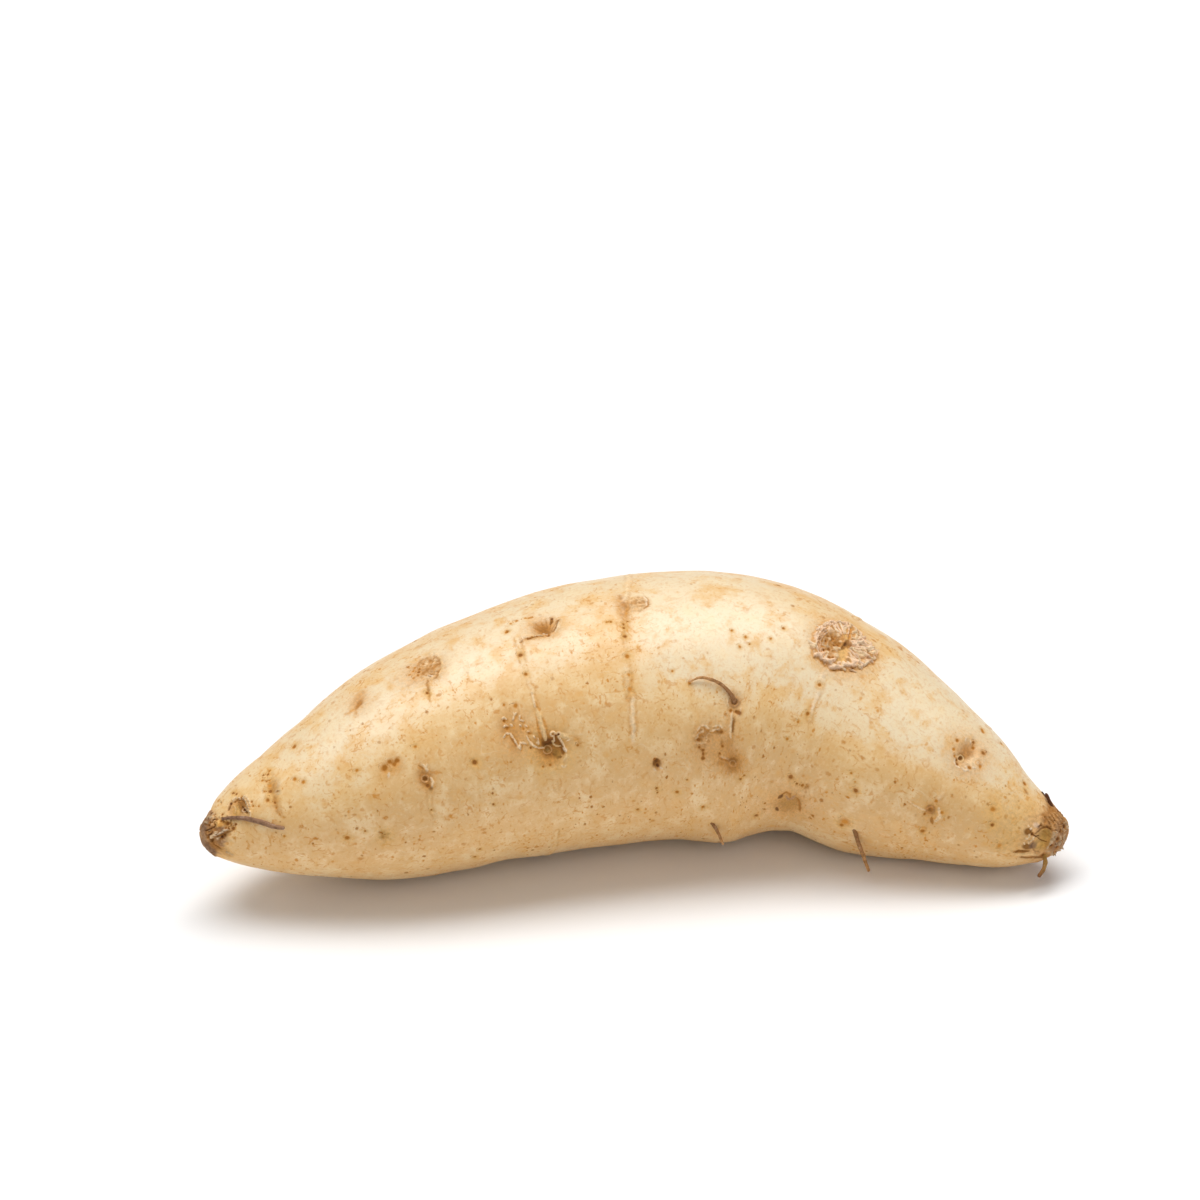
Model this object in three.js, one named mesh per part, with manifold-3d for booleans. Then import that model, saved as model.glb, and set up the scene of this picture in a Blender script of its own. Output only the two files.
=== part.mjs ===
// A white sweet potato: one swollen storage root, gently bent, tapering to a scarred tip at each
// end, with a few thin rootlets still on it.
// Millimetres, +Z up. The root lies the way it rests on a table: the table is z = 0, and the
// origin is on the table under the middle of the root.

import * as THREE from 'three';
import { mergeVertices } from 'three/addons/utils/BufferGeometryUtils.js';
import Module from 'manifold-3d';

const wasm = await Module();
wasm.setup();

// ---------------------------------------------------------------- driving dimensions

// The bent root as girths along its spine, from the stem end to the root end. The spine lies in
// one plane: "along" runs from tip to tip, and "bow" is how far it bends away to one side.
const GIRTHS = [
  { along: -100.5, bow: -1.5, radius: 0.0 },
  { along: -96.5, bow: -1.0, radius: 6.5 },
  { along: -88.0, bow: 2.0, radius: 12.0 },
  { along: -76.0, bow: 6.0, radius: 17.5 },
  { along: -62.0, bow: 11.5, radius: 23.0 },
  { along: -46.0, bow: 18.5, radius: 27.0 },
  { along: -28.0, bow: 25.0, radius: 29.5 },
  { along: -8.0, bow: 30.5, radius: 31.0 },
  { along: 12.0, bow: 33.5, radius: 31.0 },
  { along: 30.0, bow: 32.5, radius: 30.0 },
  { along: 46.0, bow: 27.0, radius: 26.5 },
  { along: 60.0, bow: 18.5, radius: 23.0 },
  { along: 74.0, bow: 10.5, radius: 18.0 },
  { along: 86.0, bow: 3.5, radius: 12.5 },
  { along: 95.0, bow: 0.5, radius: 7.5 },
  { along: 101.0, bow: 0.5, radius: 0.0 },
];

// A place on the skin is a station, in millimetres along the spine from the stem tip, and an
// angle round it, in degrees: 0 on the outside of the bend, 90 on top, 180 on the inside of the
// bend and 270 underneath, before the root is leaned into its resting position.

// Soft swellings of the skin, and hollows where the height is negative. "length" and "width" are
// how far each one reaches, along the spine in millimetres and round it in degrees.
const SWELLINGS = [
  { station: 56, angle: 240, length: 15, width: 36, height: 1.0 }, // under the stem-end lobe
  { station: 66, angle: 212, length: 7, width: 30, height: -0.8 }, // crease behind that lobe
  { station: 118, angle: 262, length: 20, width: 30, height: 1.2 }, // belly, on the table
  { station: 130, angle: 205, length: 16, width: 30, height: 2.4 }, // belly, inside the bend
  { station: 154, angle: 206, length: 7, width: 34, height: -0.8 }, // waist
  { station: 170, angle: 212, length: 14, width: 30, height: 0.8 }, // root-end lobe
];
const SWELLING_FADE_RADIUS = 8; // a swelling fades out where the root is thinner than this

// Rootlets, each a path over the skin: "lift" is the height of its middle above the skin, so a
// path starts below the skin and ends free, and "radius" is half its thickness there.
const ROOTLETS = [
  // a wiry one on the front, curling back along the skin from the eye it grows out of
  [
    { station: 129, angle: 120, lift: -0.8, radius: 0.8 },
    { station: 127.3, angle: 115.6, lift: 0.5, radius: 0.6 },
    { station: 125, angle: 112, lift: 0.9, radius: 0.5 },
    { station: 122, angle: 109.5, lift: 1.0, radius: 0.5 },
    { station: 119, angle: 108.5, lift: 0.9, radius: 0.4 },
    { station: 116, angle: 110, lift: 0.4, radius: 0.3 },
  ],
  // a short one under the belly
  [
    { station: 123, angle: 179, lift: -1.0, radius: 0.6 },
    { station: 126, angle: 182, lift: 0.8, radius: 0.5 },
    { station: 128, angle: 185, lift: 1.9, radius: 0.4 },
    { station: 130, angle: 188, lift: 3.0, radius: 0.3 },
  ],
  // a longer one on the root-end lobe, hanging almost to the table
  [
    { station: 171, angle: 170, lift: -1.0, radius: 0.7 },
    { station: 173, angle: 178, lift: 0.6, radius: 0.6 },
    { station: 175.5, angle: 187, lift: 2.4, radius: 0.5 },
    { station: 178, angle: 195, lift: 5.0, radius: 0.4 },
  ],
  // a stub at the root end, pointing down
  [
    { station: 210.6, angle: 178, lift: -1.0, radius: 0.7 },
    { station: 210.3, angle: 180, lift: 0.5, radius: 0.6 },
    { station: 210.4, angle: 180, lift: 2.0, radius: 0.6 },
    { station: 210.2, angle: 180, lift: 3.5, radius: 0.5 },
    { station: 209.7, angle: 180, lift: 5.2, radius: 0.5 },
  ],
  // a dried one at the root end, lying back along the outside of the bend
  [
    { station: 211.9, angle: 64, lift: -0.5, radius: 0.6 },
    { station: 210.5, angle: 62, lift: 0.6, radius: 0.5 },
    { station: 209.4, angle: 60, lift: 1.0, radius: 0.4 },
    { station: 208.3, angle: 56, lift: 1.2, radius: 0.4 },
  ],
  // a dried one at the stem end, stuck flat to the skin
  [
    { station: 4, angle: 92, lift: -0.5, radius: 0.5 },
    { station: 7.4, angle: 104, lift: 0.2, radius: 0.5 },
    { station: 10.7, angle: 115, lift: 0.3, radius: 0.6 },
    { station: 14.1, angle: 125.5, lift: 0.3, radius: 0.6 },
    { station: 16.8, angle: 131, lift: 0.1, radius: 0.4 },
  ],
];

// How the root comes to rest on a table, in degrees, turned about X, then Y, then Z. It stands on
// its belly and its two end lobes, each pressed flat where it touches.
const REST_LEAN = 30;
const REST_ROLL = 2.8;
const REST_TURN = 4;
const FLAT_DEPTH = 0.4;

// How finely the solids are faceted.
const BODY_RINGS = 56;
const BODY_SIDES = 40;
const ROOTLET_RINGS = 10;
const ROOTLET_SIDES = 8;
const SPINE_STEPS = 600;

const SKIN_COLOUR = 0xe6cb98;

// ---------------------------------------------------------------- curves

// A smooth curve through the rows of an array of numbers, at row position u from 0 to the last.
function smoothRow(rows, u) {
  const last = rows.length - 1;
  const i = Math.min(Math.floor(u), last - 1);
  const t = u - i;
  const b = rows[i];
  const c = rows[i + 1];
  const a = i > 0 ? rows[i - 1] : b.map((value, k) => 2 * value - c[k]);
  const d = i + 2 <= last ? rows[i + 2] : c.map((value, k) => 2 * value - b[k]);
  return b.map((value, k) => {
    const slope = c[k] - a[k];
    const bend = 2 * a[k] - 5 * b[k] + 4 * c[k] - d[k];
    const twist = 3 * b[k] - 3 * c[k] + d[k] - a[k];
    return 0.5 * (2 * b[k] + slope * t + bend * t * t + twist * t * t * t);
  });
}

// A path of rows { centre, radius }. Squared radii are what is smoothed, because they fall evenly
// to nothing at a rounded tip. "up" is a direction that the path never runs along.
class GirthPath {
  constructor(girths, up) {
    this.rows = girths.map(({ centre, radius }) => [...centre.toArray(), radius * radius]);
    this.last = girths.length - 1;
    this.up = up;
  }

  centre(u) {
    return new THREE.Vector3(...smoothRow(this.rows, u));
  }

  radius(u) {
    return Math.sqrt(Math.max(smoothRow(this.rows, u)[3], 0));
  }

  // Two directions across the path: side is to its left, and top is over it.
  across(u) {
    const step = 0.001;
    const before = this.centre(Math.max(u - step, 0));
    const after = this.centre(Math.min(u + step, this.last));
    const ahead = after.sub(before).normalize();
    const side = new THREE.Vector3().crossVectors(this.up, ahead).normalize();
    const top = new THREE.Vector3().crossVectors(ahead, side);
    return { side, top };
  }
}

// ---------------------------------------------------------------- the root's skin

const UP = new THREE.Vector3(0, 0, 1);
const spine = new GirthPath(
  GIRTHS.map(({ along, bow, radius }) => ({ centre: new THREE.Vector3(along, bow, 0), radius })),
  UP,
);

// The station of each of a run of evenly spaced row positions along the spine.
const spineStations = [0];
for (let i = 1; i <= SPINE_STEPS; i += 1) {
  const from = spine.centre(((i - 1) * spine.last) / SPINE_STEPS);
  const to = spine.centre((i * spine.last) / SPINE_STEPS);
  spineStations.push(spineStations[i - 1] + from.distanceTo(to));
}

function stationAt(u) {
  const place = (u * SPINE_STEPS) / spine.last;
  const i = Math.min(Math.floor(place), SPINE_STEPS - 1);
  return THREE.MathUtils.lerp(spineStations[i], spineStations[i + 1], place - i);
}

function rowAtStation(station) {
  const i = Math.max(spineStations.findIndex((value) => value >= station), 1);
  const part = (station - spineStations[i - 1]) / (spineStations[i] - spineStations[i - 1]);
  return ((i - 1 + part) * spine.last) / SPINE_STEPS;
}

// How far the skin stands out from the plain round section, at a station and an angle.
function swelling(station, angle, radius) {
  let height = 0;
  for (const swell of SWELLINGS) {
    const along = (station - swell.station) / swell.length;
    const turn = THREE.MathUtils.euclideanModulo(angle - swell.angle + 180, 360) - 180;
    const round = turn / swell.width;
    height += swell.height * Math.exp(-along * along - round * round);
  }
  return height * Math.min(radius / SWELLING_FADE_RADIUS, 1);
}

function skinPoint({ station, angle, lift }) {
  const u = rowAtStation(station);
  const { side, top } = spine.across(u);
  const reach = spine.radius(u) + swelling(station, angle, spine.radius(u)) + lift;
  const turn = THREE.MathUtils.degToRad(angle);
  return spine.centre(u)
    .addScaledVector(side, reach * Math.cos(turn))
    .addScaledVector(top, reach * Math.sin(turn));
}

// ---------------------------------------------------------------- solids

// A round body turned straight on a lathe and then bent along its path. Rings crowd together
// towards both tips, which keeps the tips round. "reach" gives the finished distance from the
// path at a row position, an angle in degrees and the plain radius there.
function bentLathe(path, rings, sides, reach) {
  const profile = [];
  for (let i = 0; i <= rings; i += 1) {
    const u = (path.last * (1 - Math.cos((Math.PI * i) / rings))) / 2;
    const radius = i === 0 || i === rings ? 0 : path.radius(u);
    profile.push(new THREE.Vector2(radius, u));
  }
  const geometry = new THREE.LatheGeometry(profile, sides);
  const position = geometry.getAttribute('position');
  for (let i = 0; i < position.count; i += 1) {
    const turned = new THREE.Vector3().fromBufferAttribute(position, i);
    const radius = Math.hypot(turned.x, turned.z);
    const turn = Math.atan2(turned.x, turned.z);
    const { side, top } = path.across(turned.y);
    const out = radius > 0 ? reach(turned.y, THREE.MathUtils.radToDeg(turn), radius) : 0;
    const bent = path.centre(turned.y)
      .addScaledVector(side, out * Math.cos(turn))
      .addScaledVector(top, out * Math.sin(turn));
    position.setXYZ(i, bent.x, bent.y, bent.z);
  }
  return geometry;
}

function bodyGeometry() {
  const reach = (u, angle, radius) => radius + swelling(stationAt(u), angle, radius);
  return bentLathe(spine, BODY_RINGS, BODY_SIDES, reach);
}

// The coordinate axis that a rootlet runs along least.
function leastAlignedAxis(direction) {
  const size = direction.toArray().map(Math.abs);
  const axis = size.indexOf(Math.min(...size));
  return new THREE.Vector3().setComponent(axis, 1);
}

function rootletGeometry(points) {
  const girths = points.map((point) => ({ centre: skinPoint(point), radius: point.radius }));
  const run = girths.at(-1).centre.clone().sub(girths[0].centre);
  const path = new GirthPath(girths, leastAlignedAxis(run));
  return bentLathe(path, ROOTLET_RINGS, ROOTLET_SIDES, (u, angle, radius) => radius);
}

function toSolid(source) {
  source.deleteAttribute('normal');
  source.deleteAttribute('uv');
  const merged = mergeVertices(source);
  const corners = merged.getIndex().array;
  const triangles = [];
  for (let i = 0; i < corners.length; i += 3) {
    const [a, b, c] = corners.slice(i, i + 3);
    if (a !== b && b !== c && c !== a) triangles.push(a, b, c);
  }
  return new wasm.Manifold(new wasm.Mesh({
    numProp: 3,
    vertProperties: new Float32Array(merged.getAttribute('position').array),
    triVerts: new Uint32Array(triangles),
  }));
}

function toGeometry(solid) {
  const mesh = solid.getMesh();
  const geometry = new THREE.BufferGeometry();
  geometry.setAttribute('position', new THREE.BufferAttribute(mesh.vertProperties, 3));
  geometry.setIndex(new THREE.BufferAttribute(mesh.triVerts, 1));
  return geometry;
}

// Everything below the table top, cut away to leave the small flat spots that the root rests on.
function tableGeometry() {
  const width = 400;
  const thickness = 20;
  return new THREE.BoxGeometry(width, width, thickness).translate(0, 0, -thickness / 2);
}

// ---------------------------------------------------------------- the part

function sweetPotatoGeometry() {
  let root = toSolid(bodyGeometry());
  for (const points of ROOTLETS) root = root.add(toSolid(rootletGeometry(points)));

  const resting = toGeometry(root);
  resting.rotateX(THREE.MathUtils.degToRad(REST_LEAN));
  resting.rotateY(THREE.MathUtils.degToRad(REST_ROLL));
  resting.rotateZ(THREE.MathUtils.degToRad(REST_TURN));
  resting.computeBoundingBox();
  resting.translate(0, 0, -resting.boundingBox.min.z - FLAT_DEPTH);

  const pressed = toGeometry(toSolid(resting).subtract(toSolid(tableGeometry())));
  pressed.computeBoundingBox();
  const middle = pressed.boundingBox.getCenter(new THREE.Vector3());
  pressed.translate(-middle.x, -middle.y, -pressed.boundingBox.min.z);
  pressed.computeVertexNormals();
  return pressed;
}

const group = new THREE.Group();
const sweetPotato = new THREE.Mesh(
  sweetPotatoGeometry(),
  new THREE.MeshStandardMaterial({ color: SKIN_COLOUR, roughness: 0.7, metalness: 0 }),
);
sweetPotato.name = 'sweet_potato';
group.add(sweetPotato);

export default group;
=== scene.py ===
# A white sweet potato lying on a pale studio floor. The skin is one closed mesh built in code on
# the girths of the CAD part, with its scars, eyes and creases modelled in it; the rootlets are
# thin tubes that grow out of it. Sizes are in millimetres until a mesh is made, which is in metres.

import math

import bpy
import numpy as np
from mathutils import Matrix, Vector


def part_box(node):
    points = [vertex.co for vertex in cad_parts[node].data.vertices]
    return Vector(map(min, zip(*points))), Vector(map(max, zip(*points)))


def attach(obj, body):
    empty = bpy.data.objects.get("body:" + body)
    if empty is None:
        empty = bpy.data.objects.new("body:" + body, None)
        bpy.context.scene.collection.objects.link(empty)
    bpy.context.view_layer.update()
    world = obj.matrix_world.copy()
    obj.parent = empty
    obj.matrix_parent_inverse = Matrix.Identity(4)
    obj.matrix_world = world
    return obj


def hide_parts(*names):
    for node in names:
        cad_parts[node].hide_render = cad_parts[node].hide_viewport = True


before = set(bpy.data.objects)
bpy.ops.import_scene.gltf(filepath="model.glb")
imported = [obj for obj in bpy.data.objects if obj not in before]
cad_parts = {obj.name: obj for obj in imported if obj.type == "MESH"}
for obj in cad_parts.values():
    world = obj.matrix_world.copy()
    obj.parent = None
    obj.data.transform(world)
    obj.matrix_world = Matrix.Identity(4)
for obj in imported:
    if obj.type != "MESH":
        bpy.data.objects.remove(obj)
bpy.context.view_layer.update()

MM = 0.001

# ---------------------------------------------------------------- the root's girths

# From the stem end to the root end: along, bow, radius. The spine lies in one plane, and "bow" is
# how far it bends away to one side.
GIRTHS = np.array([
    (-100.5, -1.5, 0.0),
    (-96.5, -1.0, 6.5),
    (-88.0, 2.0, 12.0),
    (-76.0, 6.0, 17.5),
    (-62.0, 11.5, 23.0),
    (-46.0, 18.5, 27.0),
    (-28.0, 25.0, 29.5),
    (-8.0, 30.5, 31.0),
    (12.0, 33.5, 31.0),
    (30.0, 32.5, 30.0),
    (46.0, 27.0, 26.5),
    (60.0, 18.5, 23.0),
    (74.0, 10.5, 18.0),
    (86.0, 3.5, 12.5),
    (95.0, 0.5, 7.5),
    (101.0, 0.5, 0.0),
])

# A place on the skin is a station, in mm along the spine from the stem tip, and an angle round it,
# in degrees: 0 outside the bend, 90 on top, 180 inside the bend, 270 underneath.
# Soft swellings: station, angle, reach along, reach round (degrees), height.
SWELLINGS = (
    (56, 240, 15, 36, 1.0),
    (66, 212, 7, 30, -0.8),
    (118, 262, 20, 30, 1.2),
    (130, 205, 16, 30, 2.4),
    (154, 206, 7, 34, -0.8),
    (170, 212, 14, 30, 0.8),
)
SWELLING_FADE_RADIUS = 8.0

# How the root rests on the table, in degrees about X, then Y, then Z.
REST_LEAN, REST_ROLL, REST_TURN = 30.0, 2.8, 4.0

SPINE_STEPS = 8000
REST_RINGS, REST_DEGREES = 600, 1.5   # how finely the body is sampled to place it on the table


def smooth_rows(rows, u):
    """A smooth curve through the rows, at each row position u."""
    last = len(rows) - 1
    padded = np.vstack([2 * rows[0] - rows[1], rows, 2 * rows[-1] - rows[-2]])
    i = np.minimum(u.astype(int), last - 1)
    t = (u - i)[:, None]
    a, b, c, d = (padded[i + k] for k in range(4))
    return 0.5 * (
        2 * b + (c - a) * t + (2 * a - 5 * b + 4 * c - d) * t**2 + (3 * b - 3 * c + d - a) * t**3
    )


def unit(vectors):
    length = np.linalg.norm(vectors, axis=-1, keepdims=True)
    return vectors / np.maximum(length, 1e-12)


class Spine:
    """The root's spine, sampled finely: everything is looked up by "run", the distance over the
    skin from the stem tip along a line from tip to tip of the plain round body."""

    def __init__(self, girths):
        last = len(girths) - 1
        u = last * (1 - np.cos(np.linspace(0, math.pi, SPINE_STEPS))) / 2
        rows = np.column_stack([girths[:, :2], girths[:, 2] ** 2])
        sampled = smooth_rows(rows, u)
        self.centre = np.column_stack([sampled[:, :2], np.zeros(len(u))])
        self.radius = np.sqrt(np.maximum(sampled[:, 2], 0))
        self.radius[[0, -1]] = 0
        steps = np.linalg.norm(np.diff(self.centre, axis=0), axis=1)
        self.station = np.concatenate([[0], np.cumsum(steps)])
        rise = np.diff(self.radius)
        self.run = np.concatenate([[0], np.cumsum(np.hypot(steps, rise))])
        ahead = unit(np.gradient(self.centre, axis=0))
        self.side = np.column_stack([-ahead[:, 1], ahead[:, 0], np.zeros(len(u))])

    def look_up(self, values, run):
        return np.stack([np.interp(run, self.run, column) for column in values.T], axis=-1)

    def run_at(self, station):
        return np.interp(station, self.station, self.run)

    def station_at(self, run):
        return np.interp(run, self.run, self.station)

    def radius_at(self, run):
        return np.interp(run, self.run, self.radius)


spine = Spine(GIRTHS)


def swelling(station, angle, radius):
    height = np.zeros(np.broadcast(station, angle).shape)
    for at, turn, reach, width, rise in SWELLINGS:
        round_ = (angle - turn + 180) % 360 - 180
        height = height + rise * np.exp(-((station - at) / reach) ** 2 - (round_ / width) ** 2)
    return height * np.minimum(radius / SWELLING_FADE_RADIUS, 1)


def body_points(run, cosine, sine, lift=0.0):
    """Points over the plain skin, before the root is leaned into its resting position."""
    radius = spine.radius_at(run)
    angle = np.degrees(np.arctan2(sine, cosine))
    reach = radius + swelling(spine.station_at(run), angle, radius) + lift
    points = spine.look_up(spine.centre, run)
    points = points + (reach * cosine)[..., None] * spine.look_up(spine.side, run)
    points[..., 2] += reach * sine
    return points


def skin_point(station, angle, lift=0.0):
    run = np.array([spine.run_at(station)])
    turn = math.radians(angle)
    return body_points(run, np.array([math.cos(turn)]), np.array([math.sin(turn)]), lift)[0]


# ---------------------------------------------------------------- the resting position

def turned(axis, degrees):
    c, s = math.cos(math.radians(degrees)), math.sin(math.radians(degrees))
    i, j = [k for k in range(3) if k != axis]
    matrix = np.eye(3)
    matrix[i, i] = matrix[j, j] = c
    sign = -1 if axis == 1 else 1
    matrix[i, j], matrix[j, i] = -sign * s, sign * s
    return matrix


REST = turned(2, REST_TURN) @ turned(1, REST_ROLL) @ turned(0, REST_LEAN)
low, high = (np.array(corner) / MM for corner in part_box("sweet_potato"))


def rest_shift():
    """Puts the plain body in the CAD part's box: its middle, and its top."""
    run = np.linspace(0, spine.run[-1], REST_RINGS)
    angle = np.radians(np.arange(0, 360, REST_DEGREES))
    runs, angles = np.meshgrid(run, angle, indexing="ij")
    points = body_points(runs.ravel(), np.cos(angles.ravel()), np.sin(angles.ravel())) @ REST.T
    shift = (low + high) / 2 - (points.min(0) + points.max(0)) / 2
    shift[2] = high[2] - points[:, 2].max()
    return shift


SHIFT = rest_shift()


def at_rest(points):
    return points @ REST.T + SHIFT


# ---------------------------------------------------------------- seeded noise

def lattice(ix, iy, iz, seed):
    """A fixed random value, -1 to 1, for each whole-number place."""
    h = (ix * 374761393 + iy * 668265263 + iz * 1440662683 + seed * 974634777) & 0xFFFFFFFF
    h = ((h ^ (h >> 13)) * 1274126177) & 0xFFFFFFFF
    h = ((h ^ (h >> 15)) * 2246822519) & 0xFFFFFFFF
    return (h >> 8) / float(0xFFFFFF) * 2 - 1


def noise(points, size, seed):
    """Smooth noise, -1 to 1, with lumps of about that size."""
    scaled = points / size
    base = np.floor(scaled).astype(np.int64)
    t = scaled - base
    t = t * t * t * (t * (t * 6 - 15) + 10)
    total = 0
    for dx in (0, 1):
        for dy in (0, 1):
            for dz in (0, 1):
                weight = (
                    (t[:, 0] if dx else 1 - t[:, 0])
                    * (t[:, 1] if dy else 1 - t[:, 1])
                    * (t[:, 2] if dz else 1 - t[:, 2])
                )
                value = lattice(base[:, 0] + dx, base[:, 1] + dy, base[:, 2] + dz, seed)
                total = total + weight * value
    return total


# ---------------------------------------------------------------- the mesh

RING_SPACING = 1.4
BODY_SIDES = 140


def base_grid():
    """Rings of places round the body and a pole at each tip: run, cosine, sine, and triangles."""
    rings = int(round(spine.run[-1] / RING_SPACING))
    run = np.linspace(0, spine.run[-1], rings + 1)[1:-1]
    angle = 2 * math.pi * np.arange(BODY_SIDES) / BODY_SIDES
    runs, angles = np.meshgrid(run, angle, indexing="ij")
    places = np.column_stack([runs.ravel(), np.cos(angles).ravel(), np.sin(angles).ravel()])
    places = np.vstack([places, (0, 0, 0), (spine.run[-1], 0, 0)])
    first_pole, last_pole = len(places) - 2, len(places) - 1
    i, j = np.meshgrid(np.arange(len(run) - 1), np.arange(BODY_SIDES), indexing="ij")
    i, j = i.ravel(), j.ravel()
    ahead = (j + 1) % BODY_SIDES
    a, b = i * BODY_SIDES + j, i * BODY_SIDES + ahead
    c, d = a + BODY_SIDES, b + BODY_SIDES
    odd = (i + j) % 2 == 1
    upper = np.where(odd[:, None], np.column_stack([a, b, c]), np.column_stack([a, b, d]))
    lower = np.where(odd[:, None], np.column_stack([b, d, c]), np.column_stack([a, d, c]))
    around = np.arange(BODY_SIDES)
    following = (around + 1) % BODY_SIDES
    start = np.column_stack([np.full(BODY_SIDES, first_pole), following, around])
    end_ring = (len(run) - 1) * BODY_SIDES
    end = np.column_stack([np.full(BODY_SIDES, last_pole), end_ring + around, end_ring + following])
    return places, np.vstack([upper, lower, start, end])


def middle_places(a, b):
    """The place half way between two, on the skin."""
    middle = (a + b) / 2
    direction = a[:, 1:] + b[:, 1:]
    length = np.linalg.norm(direction, axis=1, keepdims=True)
    middle[:, 1:] = direction / np.maximum(length, 1e-9)
    return middle


def split_long_edges(places, triangles, wanted):
    """Splits each edge that is longer than wanted(points) at its middle, once."""
    corners = triangles[:, [[0, 1], [1, 2], [2, 0]]].reshape(-1, 2)
    edges, which = np.unique(np.sort(corners, axis=1), axis=0, return_inverse=True)
    which = which.reshape(-1, 3)
    points = body_points(*places.T)
    a, b = points[edges[:, 0]], points[edges[:, 1]]
    long_ = np.linalg.norm(a - b, axis=1) > wanted((a + b) / 2)
    fresh = np.full(len(edges), -1)
    fresh[long_] = len(places) + np.arange(long_.sum())
    new_places = middle_places(places[edges[long_, 0]], places[edges[long_, 1]])
    places = np.vstack([places, new_places])
    points = body_points(*places.T)
    m = fresh[which]
    count = (m >= 0).sum(1)
    pieces = [triangles[count == 0]]

    rows = np.flatnonzero(count == 1)
    side = np.argmax(m[rows] >= 0, axis=1)
    p, q, r = (triangles[rows, (side + k) % 3] for k in range(3))
    s = m[rows, side]
    pieces += [np.column_stack([p, s, r]), np.column_stack([s, q, r])]

    rows = np.flatnonzero(count == 2)
    side = np.argmax(m[rows] < 0, axis=1)  # the side left whole runs from p to q
    p, q, r = (triangles[rows, (side + k) % 3] for k in range(3))
    near_q, near_p = m[rows, (side + 1) % 3], m[rows, (side + 2) % 3]
    pieces.append(np.column_stack([near_p, near_q, r]))
    one = np.linalg.norm(points[p] - points[near_q], axis=1)
    other = np.linalg.norm(points[q] - points[near_p], axis=1)
    first = (one < other)[:, None]
    pieces.append(np.where(first, np.column_stack([p, q, near_q]), np.column_stack([p, q, near_p])))
    pieces.append(
        np.where(first, np.column_stack([p, near_q, near_p]), np.column_stack([q, near_q, near_p]))
    )

    rows = np.flatnonzero(count == 3)
    p, q, r = triangles[rows].T
    pq, qr, rp = m[rows].T
    pieces += [
        np.column_stack([p, pq, rp]),
        np.column_stack([pq, q, qr]),
        np.column_stack([rp, qr, r]),
        np.column_stack([pq, qr, rp]),
    ]
    return places, np.vstack(pieces)


def vertex_normals(points, triangles):
    a, b, c = (points[triangles[:, k]] for k in range(3))
    face = np.cross(b - a, c - a)
    normals = np.zeros_like(points)
    for k in range(3):
        for axis in range(3):
            normals[:, axis] += np.bincount(
                triangles[:, k], weights=face[:, axis], minlength=len(points)
            )
    return unit(normals)


def make_object(name, points, triangles, material):
    mesh = bpy.data.meshes.new(name)
    mesh.from_pydata((points * MM).tolist(), [], triangles.tolist())
    mesh.shade_smooth()
    mesh.materials.append(material)
    piece = bpy.data.objects.new(name, mesh)
    bpy.context.scene.collection.objects.link(piece)
    return piece


def add_numbers(mesh, name, values):
    """Puts one number, three or a colour on each vertex."""
    width = 1 if values.ndim == 1 else values.shape[1]
    kind, field = {
        1: ("FLOAT", "value"),
        3: ("FLOAT_VECTOR", "vector"),
        4: ("FLOAT_COLOR", "color"),
    }[width]
    attribute = mesh.attributes.new(name, kind, "POINT")
    attribute.data.foreach_set(field, np.ascontiguousarray(values, np.float32).ravel())


# ---------------------------------------------------------------- materials

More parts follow.
